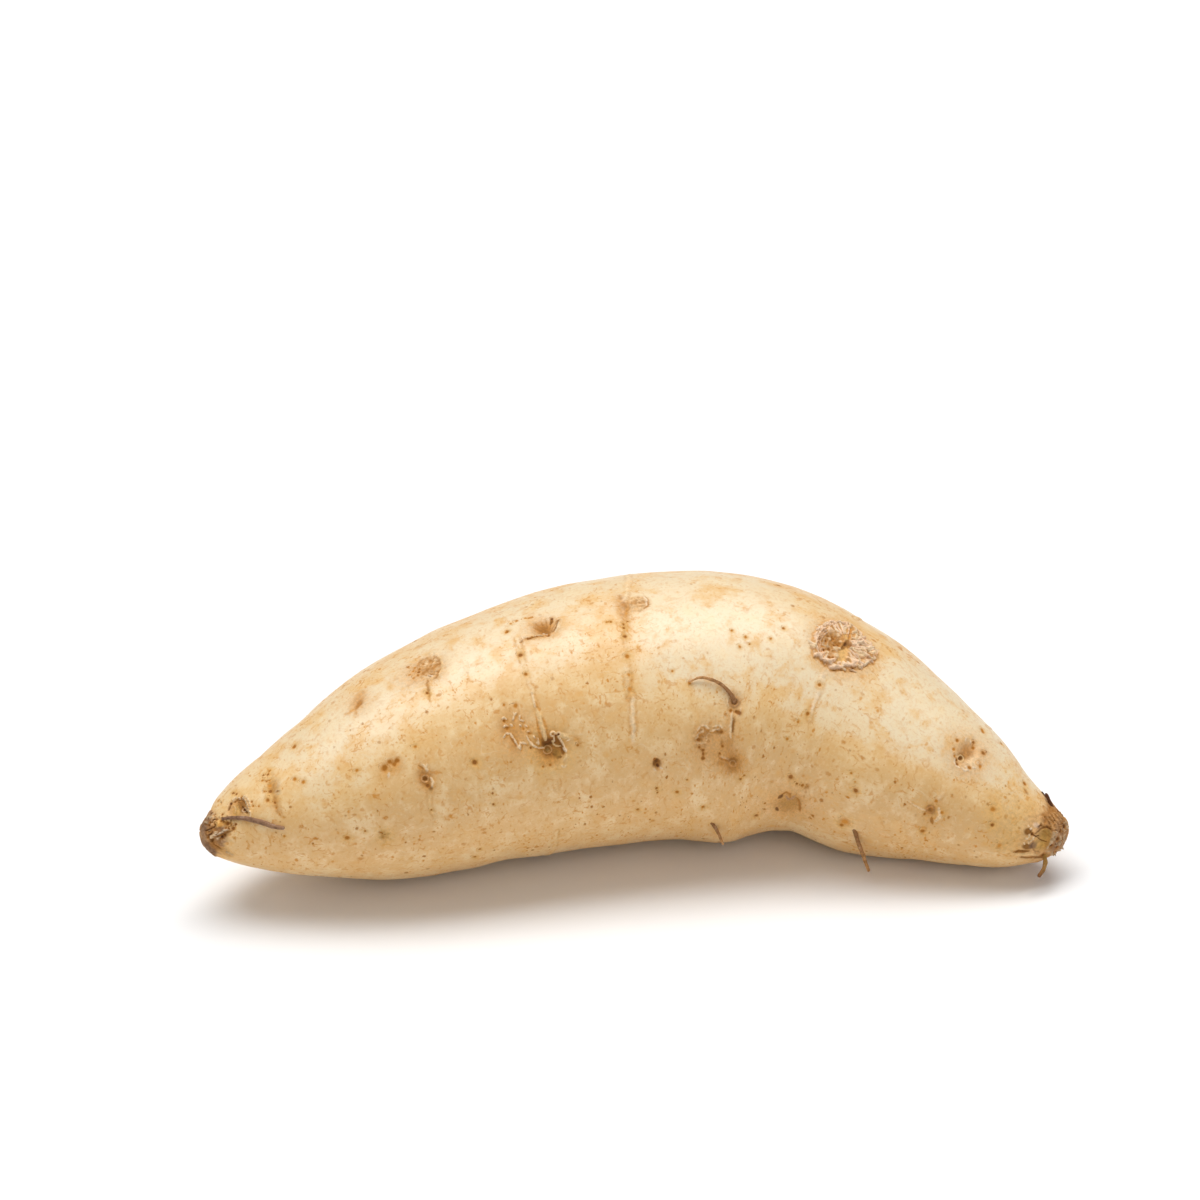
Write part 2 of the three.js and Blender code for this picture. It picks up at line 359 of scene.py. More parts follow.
class Nodes:
    """Short ways to add nodes to a material."""

    def __init__(self, name):
        self.material = bpy.data.materials.new(name)
        self.material.use_nodes = True
        self.tree = self.material.node_tree
        self.tree.nodes.clear()
        output = self.tree.nodes.new("ShaderNodeOutputMaterial")
        self.shader = self.tree.nodes.new("ShaderNodeBsdfPrincipled")
        self.tree.links.new(self.shader.outputs[0], output.inputs[0])

    def add(self, kind, **settings):
        node = self.tree.nodes.new(kind)
        for name, value in settings.items():
            setattr(node, name, value)
        return node

    def link(self, value, socket):
        if isinstance(value, bpy.types.NodeSocket):
            self.tree.links.new(value, socket)
        else:
            socket.default_value = value

    def attribute(self, name, output="Fac"):
        return self.add("ShaderNodeAttribute", attribute_name=name).outputs[output]

    def math(self, operation, a, b=0.0, clamp=False):
        node = self.add("ShaderNodeMath", operation=operation, use_clamp=clamp)
        self.link(a, node.inputs[0])
        self.link(b, node.inputs[1])
        return node.outputs[0]

    def plus(self, a, b, clamp=False):
        return self.math("ADD", a, b, clamp)

    def minus(self, a, b, clamp=False):
        return self.math("SUBTRACT", a, b, clamp)

    def times(self, a, b):
        return self.math("MULTIPLY", a, b)

    def greater(self, a, b):
        return self.math("MAXIMUM", a, b)

    def ramp(self, value, low, high, bottom=0.0, top=1.0):
        """Smooth step: bottom at low and under, top at high and over."""
        node = self.add("ShaderNodeMapRange", interpolation_type="SMOOTHSTEP")
        for socket, given in zip(node.inputs, (value, low, high, bottom, top)):
            self.link(given, socket)
        return node.outputs[0]

    def scaled(self, vector, scale):
        node = self.add("ShaderNodeVectorMath", operation="MULTIPLY")
        self.link(vector, node.inputs[0])
        node.inputs[1].default_value = scale
        return node.outputs[0]

    def length(self, vector):
        node = self.add("ShaderNodeVectorMath", operation="LENGTH")
        self.link(vector, node.inputs[0])
        return node.outputs["Value"]

    def noise(self, vector, size, detail, roughness):
        node = self.add("ShaderNodeTexNoise")
        self.link(vector, node.inputs["Vector"])
        node.inputs["Scale"].default_value = 1 / size
        node.inputs["Detail"].default_value = detail
        node.inputs["Roughness"].default_value = roughness
        return node.outputs["Fac"]

    def grey(self, value):
        node = self.add("ShaderNodeCombineColor")
        for socket in node.inputs:
            self.link(value, socket)
        return node.outputs[0]

    def wavy(self, vector, size, amount):
        """The vector, pushed about a little."""
        push = self.add("ShaderNodeTexNoise")
        self.link(vector, push.inputs["Vector"])
        push.inputs["Scale"].default_value = 1 / size
        node = self.add("ShaderNodeVectorMath", operation="MULTIPLY_ADD")
        self.link(push.outputs["Color"], node.inputs[0])
        node.inputs[1].default_value = (amount,) * 3
        self.link(vector, node.inputs[2])
        return node.outputs[0]

    def bump(self, height, strength, distance):
        node = self.add("ShaderNodeBump")
        node.inputs["Strength"].default_value = strength
        node.inputs["Distance"].default_value = distance
        self.link(height, node.inputs["Height"])
        self.link(node.outputs[0], self.shader.inputs["Normal"])

    def mix(self, amount, a, b, blend="MIX"):
        node = self.add("ShaderNodeMix", data_type="RGBA", blend_type=blend)
        self.link(amount, node.inputs[0])
        self.link(a, node.inputs[6])
        self.link(b, node.inputs[7])
        return node.outputs[2]


# ---------------------------------------------------------------- where the skin needs fine facets

# The marks' own places: station and angle.
DEEP_EYE = (78.2, 127.7)
EYE_FLAKES = (71.5, 116.0)
PAPERY_SCAR = (151.6, 75.0)
FAN_DENT = (86.6, 73.5)
TAN_SCAR = (59.8, 66.5)
ROOTLET_EYE = (128.3, 118.5)
ROUGH_PATCH = (121.8, 136.6)
FOLD_EYE = (129.4, 145.4)
BELLY_PIT = (105.4, 143.2)
NOTCH = (152.7, 165.7)
END_DENT = (186.6, 91.6)
CROSS_EYE = (185.7, 138.5)
FLAKE_PATCH = (107.6, 68.0)
STEM_EYE = (47.8, 123.2)
TRIPLE_EYE = (41.9, 109.8)
OLIVE_MARK = (41.8, 64.8)
FLAKE_CREASE = (104.5, 69.0)
STEM_CURL = (8.5, 95.0)
STEM_SLOPE = (13.5, 58.0)
STEM_FACE = (2.2, 102.0)
STEM_SMUDGE = (17.3, 94.7)
STEM_LOW_EYE = (36.4, 149.4)
ROOT_UPPER = (211.7, 87.4)
ROOT_GOLD = (209.2, 135.1)
ROOT_SIDE = (206.6, 126.0)
ROOT_FRILL = (212.5, 131.7)
ROOT_FOLD = (207.4, 167.2)
ROOT_LAST_EYE = (203.0, 75.5)
ROOT_SCAB = (207.0, 132.0)
ROOT_CREASE = (205.5, 160.0)

# How far the fine detail of each place reaches, and how long its facets' edges may be, in mm.
FINE_PLACES = [
    (PAPERY_SCAR, 8.3, 0.25),
    (DEEP_EYE, 5.0, 0.27),
    (EYE_FLAKES, 5.5, 0.32),
    (FAN_DENT, 4.5, 0.35),
    (TAN_SCAR, 4.5, 0.4),
    (ROOTLET_EYE, 3.0, 0.28),
    (ROUGH_PATCH, 4.5, 0.4),
    (FOLD_EYE, 3.0, 0.4),
    (BELLY_PIT, 2.5, 0.3),
    (NOTCH, 5.0, 0.4),
    (END_DENT, 5.0, 0.35),
    (CROSS_EYE, 3.0, 0.3),
    (FLAKE_PATCH, 3.5, 0.4),
    (STEM_EYE, 3.0, 0.3),
    (TRIPLE_EYE, 2.5, 0.35),
    (OLIVE_MARK, 2.0, 0.4),
    (STEM_CURL, 3.4, 0.3),
    (ROOT_SCAB, 5.0, 0.36),
    (ROOT_CREASE, 4.0, 0.5),
]

# The growth lines: fine raised or split lines that run round the root, through its eyes. Each row
# is width, height, colour, amount, strength of the painted shade in rust along its sides, and a path of
# (station, angle).
GROWTH_LINES = [
    (0.32, 0.18, "straw", 0.8, 0.5, (47.8, 129), (47, 140), (47.2, 149)),
    (0.2, -0.05, "rust", 0.6, 0.0, (57.0, 76), (56.2, 82), (55.6, 90)),
    (0.4, 0.08, "straw", 0.3, 0.5, (79.6, 72), (79.1, 77), (78.8, 83), (78.6, 91)),
    (0.3, 0.06, "cream", 0.4, 0.35, (78.9, 88), (78.3, 94), (78.6, 100), (77.9, 104)),
    (0.4, 0.34, "straw", 0.8, 0.75, (77.9, 103), (78.2, 107), (78.4, 112), (78.2, 117), (78.3, 123)),
    (0.28, 0.05, "brown", 0.7, 0.0, (78.1, 104.5), (78.2, 107)),
    (0.25, 0.05, "rust", 0.8, 0.0, (78.3, 110.5), (78.3, 113)),
    (0.3, 0.14, "straw", 0.6, 0.35, (77.9, 136), (78.2, 141), (78.4, 147)),
    (0.45, 0.28, "cream", 0.8, 0.3, (109.0, 36), (107.9, 48), (106.4, 58), (105.4, 66)),
    (0.5, 0.2, "pale", 1.0, 0.5, (105.2, 60), (104.8, 65), (104.2, 70), (103.6, 75)),
    (0.34, -0.06, "rust", 0.6, 0.0, (105.9, 64), (105.4, 68), (104.9, 72)),
    (0.3, -0.12, "rust", 0.6, 0.2, (103.6, 76), (102.9, 82), (102.5, 87)),
    (0.35, 0.2, "cream", 0.5, 0.35, (102.8, 87), (102.0, 92), (101.5, 98)),
    (0.45, 0.14, "cream", 0.9, 0.6, (101.3, 98), (101.1, 103), (100.7, 108), (100.4, 113)),
    (0.42, -0.1, "rust", 0.35, 0.0, (102.2, 100), (101.8, 104), (101.5, 108), (101.3, 113)),
    (0.42, 0.12, "cream", 0.85, 0.6, (101.2, 112), (100.5, 119.9), (100.2, 127), (99.6, 134)),
    (0.16, 0.12, "cream", 0.5, 0.0, (100.2, 113), (99.7, 120), (99.3, 126)),
    (0.16, 0.06, "cream", 0.75, 0.0, (103.4, 108.6), (107.5, 109.2)),
    (0.13, 0.04, "cream", 0.35, 0.0, (107, 109.2), (111.5, 109.8), (114, 109.9)),
    (0.25, 0.1, "cream", 0.7, 0.4, (102.0, 78.2), (103.2, 80.2)),
    (0.2, 0.08, "straw", 0.5, 0.5, (127.9, 127), (127.9, 131), (128.1, 136)),
    (0.45, 0.2, "pale", 1.0, 0.4, (150.1, 92.2), (150.2, 96), (150.4, 100.6)),
    (0.42, 0.16, "pale", 1.0, 0.4, (150.4, 101), (150.6, 106), (150.5, 111), (150.9, 118)),
    (0.16, 0.08, "cream", 0.35, 0.0, (151.3, 119), (151.6, 124)),
    (0.17, 0.08, "cream", 0.75, 0.0, (152.7, 127), (153.4, 132), (154.3, 136)),
    (0.17, 0.08, "cream", 0.7, 0.0, (155.4, 121), (156.2, 126), (156.9, 131)),
    (0.36, 0.24, "cream", 0.85, 0.5, (185.9, 133.5), (186.2, 130), (186.5, 126), (186.8, 123)),
    (0.17, 0.1, "cream", 0.7, 0.0, (177.0, 135), (178.4, 136)),
    (0.2, 0.12, "cream", 0.8, 0.3, (179.6, 136.6), (181.5, 138.1), (183.2, 139)),
    (0.22, -0.06, "rust", 0.5, 0.0, (185.9, 143.5), (186.2, 149), (186.0, 155)),
    (0.9, -0.1, "tan", 0.4, 0.0, (16.8, 62), (17.4, 76), (16.6, 92), (15.6, 108), (15.2, 118)),
    (0.3, -0.08, "brown", 0.45, 0.0, (17.1, 80), (16.6, 90), (16.0, 98)),
    # the same lines carried on round the root, out of the front view
    (0.3, 0.15, "straw", 0.7, 0.4, (48.5, 196), (47.6, 214), (48.4, 236)),
    (0.35, 0.2, "straw", 0.7, 0.5, (77.6, 172), (78.0, 196), (77.2, 220)),
    (0.32, 0.2, "straw", 0.7, 0.5, (80.5, 20), (79.3, 2), (79.8, -20), (78.6, -42)),
    (0.4, 0.24, "cream", 0.7, 0.5, (109.6, 30), (111.0, 6), (110.2, -14), (111.2, -36)),
    (0.3, 0.15, "straw", 0.7, 0.4, (127.0, 342), (127.8, 322), (127.2, 300)),
    (0.36, 0.22, "straw", 0.7, 0.5, (150.8, 44), (151.6, 24), (151.0, 4), (152.0, -16)),
    (0.3, 0.15, "straw", 0.7, 0.4, (168.4, 300), (169.0, 278), (168.2, 250)),
    (0.32, 0.18, "straw", 0.7, 0.5, (187.5, 40), (188.6, 12), (188.0, -20)),
    (0.8, -0.1, "tan", 0.35, 0.0, (17.0, 40), (18.4, 10), (17.6, -30), (18.2, -70)),
]

# Lone spots: station, angle, radius, depth and colour.
SPOTS = [
    (78.8, 81.2, 0.55, 0.25, "bark"), (78.3, 91.6, 0.4, 0.1, "brown"), (84.0, 74.0, 0.28, 0.1, "bark"),
    (83.0, 73.6, 0.25, 0.1, "bark"), (78.4, 65.2, 0.4, 0.1, "brown"), (80.0, 60.5, 0.3, 0.05, "rust"),
    (83.5, 60.2, 0.25, 0.05, "rust"), (56.2, 81.5, 0.4, 0.12, "bark"), (47.0, 140, 0.25, 0.1, "bark"),
    (47.9, 127.2, 0.45, 0.2, "bark"), (60.2, 123.6, 0.55, 0.25, "bark"), (62.3, 140.3, 0.3, 0.1, "bark"),
    (62.0, 146.1, 0.3, 0.1, "bark"), (48.4, 105.5, 0.35, 0.08, "rust"), (23.4, 96.7, 0.4, 0.1, "rust"),
    (34.9, 105.1, 0.4, 0.08, "rust"), (28.9, 147.2, 0.5, 0.15, "brown"),
    (32.8, 143.9, 0.25, 0.08, "brown"), (57.5, 174.3, 0.35, 0.1, "brown"),
    (56.2, 181.6, 0.35, 0.1, "brown"), (24.7, 60.8, 0.55, 0.15, "brown"), (17.5, 67.4, 0.3, 0.1, "rust"),
    (16.3, 84.9, 0.5, 0.12, "tan"), (16.0, 91.1, 0.55, 0.2, "bark"), (14.9, 98.9, 0.4, 0.12, "brown"),
    (15.2, 75, 0.35, 0.1, "rust"), (15.9, 67.8, 0.3, 0.1, "bark"), (21.9, 91.7, 0.4, 0.1, "rust"),
    (8.8, 61, 0.35, 0.15, "bark"), (5.6, 20.7, 0.3, 0.1, "bark"), (16.5, 139.1, 0.3, 0.1, "rust"),
    (103.3, 78.6, 0.28, 0.12, "bark"), (103.0, 80.6, 0.3, 0.14, "bark"), (102.7, 85, 0.42, 0.18, "bark"),
    (102.0, 94.9, 0.5, 0.1, "rust"), (101.3, 103.5, 0.35, 0.08, "tan"), (101.0, 109.5, 0.5, 0.08, "tan"),
    (104.4, 77.6, 0.22, 0.08, "bark"), (99.7, 76, 0.3, 0.06, "rust"), (100.7, 76.3, 0.3, 0.06, "brown"),
    (116.2, 110, 0.35, 0.06, "rust"), (112.0, 104.5, 0.25, 0.05, "rust"),
    (138.5, 79.9, 0.32, 0.12, "brown"), (130.2, 88.5, 0.32, 0.08, "rust"),
    (135.9, 87.3, 0.25, 0.06, "rust"), (127.2, 86.0, 0.28, 0.06, "rust"),
    (129.1, 93.6, 0.3, 0.06, "rust"), (131.5, 92, 0.22, 0.05, "brown"),
    (150.2, 100.6, 0.42, 0.15, "brown"), (150.0, 116.1, 0.42, 0.14, "brown"),
    (148.5, 121.2, 0.3, 0.1, "rust"), (151.6, 149.8, 0.6, 0.25, "plum"),
    (154.2, 152.6, 0.3, 0.12, "bark"), (156.9, 153.2, 0.4, 0.12, "brown"),
    (169.0, 143.2, 0.55, 0.2, "plum"), (168.2, 138.5, 0.25, 0.05, "straw"),
    (166.8, 135.1, 0.3, 0.08, "rust"), (144.2, 177.7, 0.5, 0.2, "bark"),
    (133.0, 153.2, 0.3, 0.1, "bark"), (134.3, 151, 0.28, 0.08, "brown"),
    (99.8, 166.3, 0.4, 0.1, "brown"), (120.4, 169, 0.4, 0.12, "brown"),
    (105.0, 155.5, 0.32, 0.12, "bark"), (110.8, 159, 0.4, 0.14, "brown"),
    (105.0, 157.5, 0.25, 0.1, "bark"), (114.0, 153, 0.25, 0.1, "brown"),
    (199.0, 130.3, 0.48, 0.22, "bark"), (202.3, 65.2, 0.5, 0.15, "brown"),
    (198.0, 115.0, 0.6, 0.1, "rust"), (186.0, 157.5, 0.5, 0.15, "brown"),
    (188.5, 137.3, 0.4, 0.06, "rust"), (203.6, 31.3, 0.35, 0.1, "brown"), (169.3, 167, 1.0, 0.15, "tan"),
    (168.9, 171, 0.5, 0.12, "brown"), (147.0, 131, 0.3, 0.06, "rust"), (187.0, 55, 0.4, 0.1, "rust"),
    (192, 45, 0.35, 0.1, "brown"), (201.6, 151.9, 0.5, 0.06, "tan"),
]
HIDDEN_SPOTS = 90
HIDDEN_SPOT_COLOURS = ("rust", "brown", "brown", "bark")

# Areas thick with fine dark specks: station, angle, reach along and round in mm, and how thick.
FRECKLED = (
    (44, 160, 9, 6, 0.5), (62, 150, 8, 6, 0.4), (80, 160, 9, 6, 0.6), (100, 160, 9, 6, 0.6),
    (112, 146, 6, 6, 0.5), (124, 138, 6, 6, 0.6), (134, 154, 7, 6, 0.7), (142, 166, 6, 6, 0.6),
    (152, 140, 6, 6, 0.4), (166, 158, 8, 6, 0.5), (184, 160, 9, 6, 0.6), (196, 146, 8, 7, 0.7),
    (198, 112, 8, 7, 0.6), (40, 66, 8, 5, 0.4), (84, 62, 9, 5, 0.4), (104, 66, 5, 5, 0.6),
    (146, 60, 7, 5, 0.5), (16, 60, 6, 6, 0.5), (30, 130, 8, 6, 0.3), (70, 104, 8, 5, 0.4),
)

# Eyes on the side away from the front view, one or two to a growth line: station, angle, radius.
HIDDEN_EYES = [
    (30.5, 18, 0.9), (47.8, 243, 1.0), (62.5, 338, 1.1), (78.0, 226, 1.1), (92.5, 12, 0.9),
    (104.0, 322, 1.2), (122.0, 20, 1.0), (127.6, 296, 1.0), (141.0, 338, 1.2), (160.5, 16, 0.9),
    (168.3, 246, 1.0), (176.5, 352, 1.0), (187.0, 216, 0.9), (196.0, 300, 0.8), (20.0, 286, 0.8),
]
HIDDEN_PITS = [
    (38.0, 342, 1.0), (85.0, 300, 1.1), (116.5, 344, 1.0), (134.0, 250, 1.1), (152.0, 292, 0.9),
]
HIDDEN_FLAKES = [(70.0, 6, 2.6), (111.0, 300, 3.0), (148.0, 322, 2.8), (90.0, 250, 2.4)]

STEM_CAP = 14.0   # the dead, scabbed skin of each tip lies within this of it
ROOT_CAP = 15.0

# How long a facet's edge may be, in mm: on plain skin, at a mark, on a growth line, on the tips.
PLAIN_SPACING = 2.4
MARK_SPACING = 0.5
LINE_SPACING = 0.45
HIDDEN_LINE_SPACING = 0.9
CAP_SPACING = 0.48
CAP_REACH = 8.0
SPACING_GROWTH = 0.65      # how fast the spacing may grow away from a fine place
SPACING_REACH = 5.0        # and how far from it the rule looks
SPLIT_PASSES = 4
FRONT_ANGLES = (30, 190)   # the lines that start between these are in the front view

# Sizes and seeds of what is spread over the whole skin.
WRINKLE_SIZE = 0.9
LINE_GAPS = 0.3            # how much of a growth line's strength comes and goes
FRECKLE_SEED = 40
EYE_SEED = 200
EYE_RIM_SEED = 240
PIT_SEED = 300
FLAKE_SEED = 330
LINE_SEED = 400
SPOT_SEED = 500
ROOTLET_SEED = 700


def places_on_skin(stations, angles):
    turn = np.radians(np.asarray(angles, float))
    return body_points(spine.run_at(np.asarray(stations, float)), np.cos(turn), np.sin(turn))


def path_on_skin(path, step):
    """Points every step or so along a path of (station, angle)."""
    path = np.array(path, float)
    corners = places_on_skin(path[:, 0], path[:, 1])
    length = np.concatenate([[0], np.cumsum(np.linalg.norm(np.diff(corners, axis=0), axis=1))])
    at = np.linspace(0, length[-1], max(int(length[-1] / step), 2) + 1)
    return places_on_skin(np.interp(at, length, path[:, 0]), np.interp(at, length, path[:, 1])), at


def fine_areas():
    """Centres, reaches and spacings of all the fine areas."""
    rows = [(skin_point(*place), reach, spacing) for place, reach, spacing in FINE_PLACES]
    rows += [(skin_point(s, a), radius + 0.2, MARK_SPACING) for s, a, radius, _, _ in SPOTS]
    for s, a, radius in HIDDEN_EYES + HIDDEN_PITS:
        rows.append((skin_point(s, a), 2.2 * radius, MARK_SPACING))
    rows += [(skin_point(s, a), radius, MARK_SPACING) for s, a, radius in HIDDEN_FLAKES]
    for width, _, _, _, _, *path in GROWTH_LINES:
        in_front = FRONT_ANGLES[0] < path[0][1] < FRONT_ANGLES[1]
        spacing = LINE_SPACING if in_front else HIDDEN_LINE_SPACING
        rows += [(point, 1.5 * width, spacing) for point in path_on_skin(path, 0.7)[0]]
    centres, reaches, spacings = zip(*rows)
    return np.array(centres), np.array(reaches), np.array(spacings)


def spacing_rule():
    """A function that gives how long a facet's edge may be at each point."""
    centres, reaches, spacings = fine_areas()

    def wanted(points):
        best = np.full(len(points), PLAIN_SPACING)
        for centre, reach, spacing in zip(centres, reaches, spacings):
            near = np.flatnonzero(np.abs(points[:, 0] - centre[0]) < reach + SPACING_REACH)
            away = np.linalg.norm(points[near] - centre, axis=1) - reach
            best[near] = np.minimum(best[near], spacing + SPACING_GROWTH * np.maximum(away, 0))
        tips = [skin_point(station, 0) for station in (0, spine.station[-1])]
        ends = np.minimum(*(np.linalg.norm(points - tip, axis=1) - CAP_REACH for tip in tips))
        return np.minimum(best, CAP_SPACING + SPACING_GROWTH * np.maximum(ends, 0))

    return wanted


def skin_mesh():
    places, triangles = base_grid()
    wanted = spacing_rule()
    for _ in range(SPLIT_PASSES):
        places, triangles = split_long_edges(places, triangles, wanted)
    return places, triangles


# ---------------------------------------------------------------- working the skin

def linear(red, green, blue):
    """Linear values of a colour given as 0 to 255."""
    scaled = np.array([red, green, blue]) / 255
    return np.where(scaled <= 0.04045, scaled / 12.92, ((scaled + 0.055) / 1.055) ** 2.4)


COLOURS = {
    # red, green and blue as linear shares of the light
    "pale": np.array((0.87, 0.68, 0.46)),
    "cream": np.array((0.84, 0.62, 0.37)),
    "blush": np.array((0.85, 0.60, 0.40)),
    "straw": np.array((0.82, 0.56, 0.27)),
    "ochre": np.array((0.73, 0.43, 0.145)),
    "tan": np.array((0.70, 0.405, 0.17)),
    "rust": np.array((0.58, 0.25, 0.045)),
    "brown": np.array((0.42, 0.17, 0.028)),
    "bark": np.array((0.26, 0.100, 0.012)),
    "pit": np.array((0.15, 0.050, 0.007)),
    "ash": np.array((0.44, 0.25, 0.125)),
    "plum": np.array((0.27, 0.12, 0.055)),
    "olive": np.array((0.33, 0.168, 0.03)),
    "gold": np.array((0.52, 0.28, 0.065)),
    "husk": np.array((0.62, 0.45, 0.27)),
    "smoke": np.array((0.24, 0.135, 0.075)),
}


def falling(distance):
    """1 at 0, falling smoothly to 0 at 1 and beyond."""
    t = np.clip(1 - distance, 0, 1)
    return t * t * (3 - 2 * t)


def wall(distance, edge=0.25):
    """1 inside, 0 outside, with the change at a distance of 1."""
    t = np.clip((1 + edge / 2 - distance) / edge, 0, 1)
    return t * t * (3 - 2 * t)


# Each vertex keeps where it lies from the nearest dot's middle, in radii of that dot, and how dark
# the dot is. NO_SPOT stands for no dot near it.
NO_SPOT = 9.0
SPOT_TONES = {
    "tan": 0.0,
    "straw": 0.0,
    "rust": 0.42,
    "brown": 0.72,
    "plum": 0.85,
    "bark": 0.9,
    "pit": 1.2,
}


class Skin:
    """The skin as it is worked: a height over the plain body, and paint laid over its colour."""

    def __init__(self, places, triangles):
        self.points = body_points(*places.T)
        self.normals = vertex_normals(self.points, triangles)
        self.run = places[:, 0]
        self.station = spine.station_at(self.run)
        self.angle = np.degrees(np.arctan2(places[:, 2], places[:, 1])) % 360
        self.height = np.zeros(len(places))
        self.paint = np.zeros((len(places), 4))
        self.paint[:, :3] = COLOURS["tan"]
        self.spot = np.full((len(places), 3), NO_SPOT)
        self.freckles = np.zeros(len(places))

    def lay(self, where, colour, amount):
        """Lays paint of that colour over what is there."""
        amount = np.clip(amount, 0, 1)
        old = self.paint[where, 3]
        cover = amount + old * (1 - amount)
        share = np.where(cover > 1e-6, amount / np.maximum(cover, 1e-6), 0)[:, None]
        self.paint[where, :3] = self.paint[where, :3] * (1 - share) + COLOURS[colour] * share
        self.paint[where, 3] = cover

    def along(self, path, width, height, colour, amount, sides, seed):
        """A raised or sunken line along a path of (station, angle), with painted shade in rust along its
        sides.
        """
        line, at = path_on_skin(path, 0.3)
        margin = 4 * width + 1
        inside = (self.points > line.min(0) - margin) & (self.points < line.max(0) + margin)
        near = np.flatnonzero(inside.all(1))
        plain = self.points[near]
        points = plain + 0.3 * wobble(plain, 2.4, seed) + 0.12 * wobble(plain, 0.8, seed + 9)
        best = np.full(len(near), 1e9)
        place = np.zeros(len(near))
        for point, distance in zip(line, at):
            away = np.linalg.norm(points - point, axis=1)
            closer = away < best
            best[closer] = away[closer]
            place[closer] = distance
        ends = np.clip(np.minimum(place, at[-1] - place) / 1.5, 0.3, 1)
        uneven = 1 - LINE_GAPS + LINE_GAPS * np.clip(0.6 + 1.4 * noise(plain, 2.0, seed + 5), 0, 1)
        strength = ends * uneven
        # painted shade: rust laid in a band along each side of the line, where a raised line would shade
        # the skin
        edge = falling(np.abs(best - 1.8 * width) / (1.4 * width)) * min(1.5 * sides, 1)
        edge = edge * np.clip(0.6 + 1.3 * noise(plain, 2.6, seed + 7), 0, 1)
        self.height[near] -= 0.15 * abs(height) * edge
        self.lay(near, "rust", 0.8 * edge)
        profile = falling(best / (2.0 * width)) * strength
        self.height[near] += height * profile
        self.lay(near, colour, min(1.2 * amount, 1) * profile)

    def place(self, station, angle, reach, bend, seed):
        return Place(self, station, angle, reach, bend, seed)


def shifted(path, dx, dy):
    return [(x + dx, y + dy) for x, y in path]


def wobble(points, size, seed):
    return np.column_stack([noise(points, size, seed + 100 * k) for k in (1, 2, 3)])


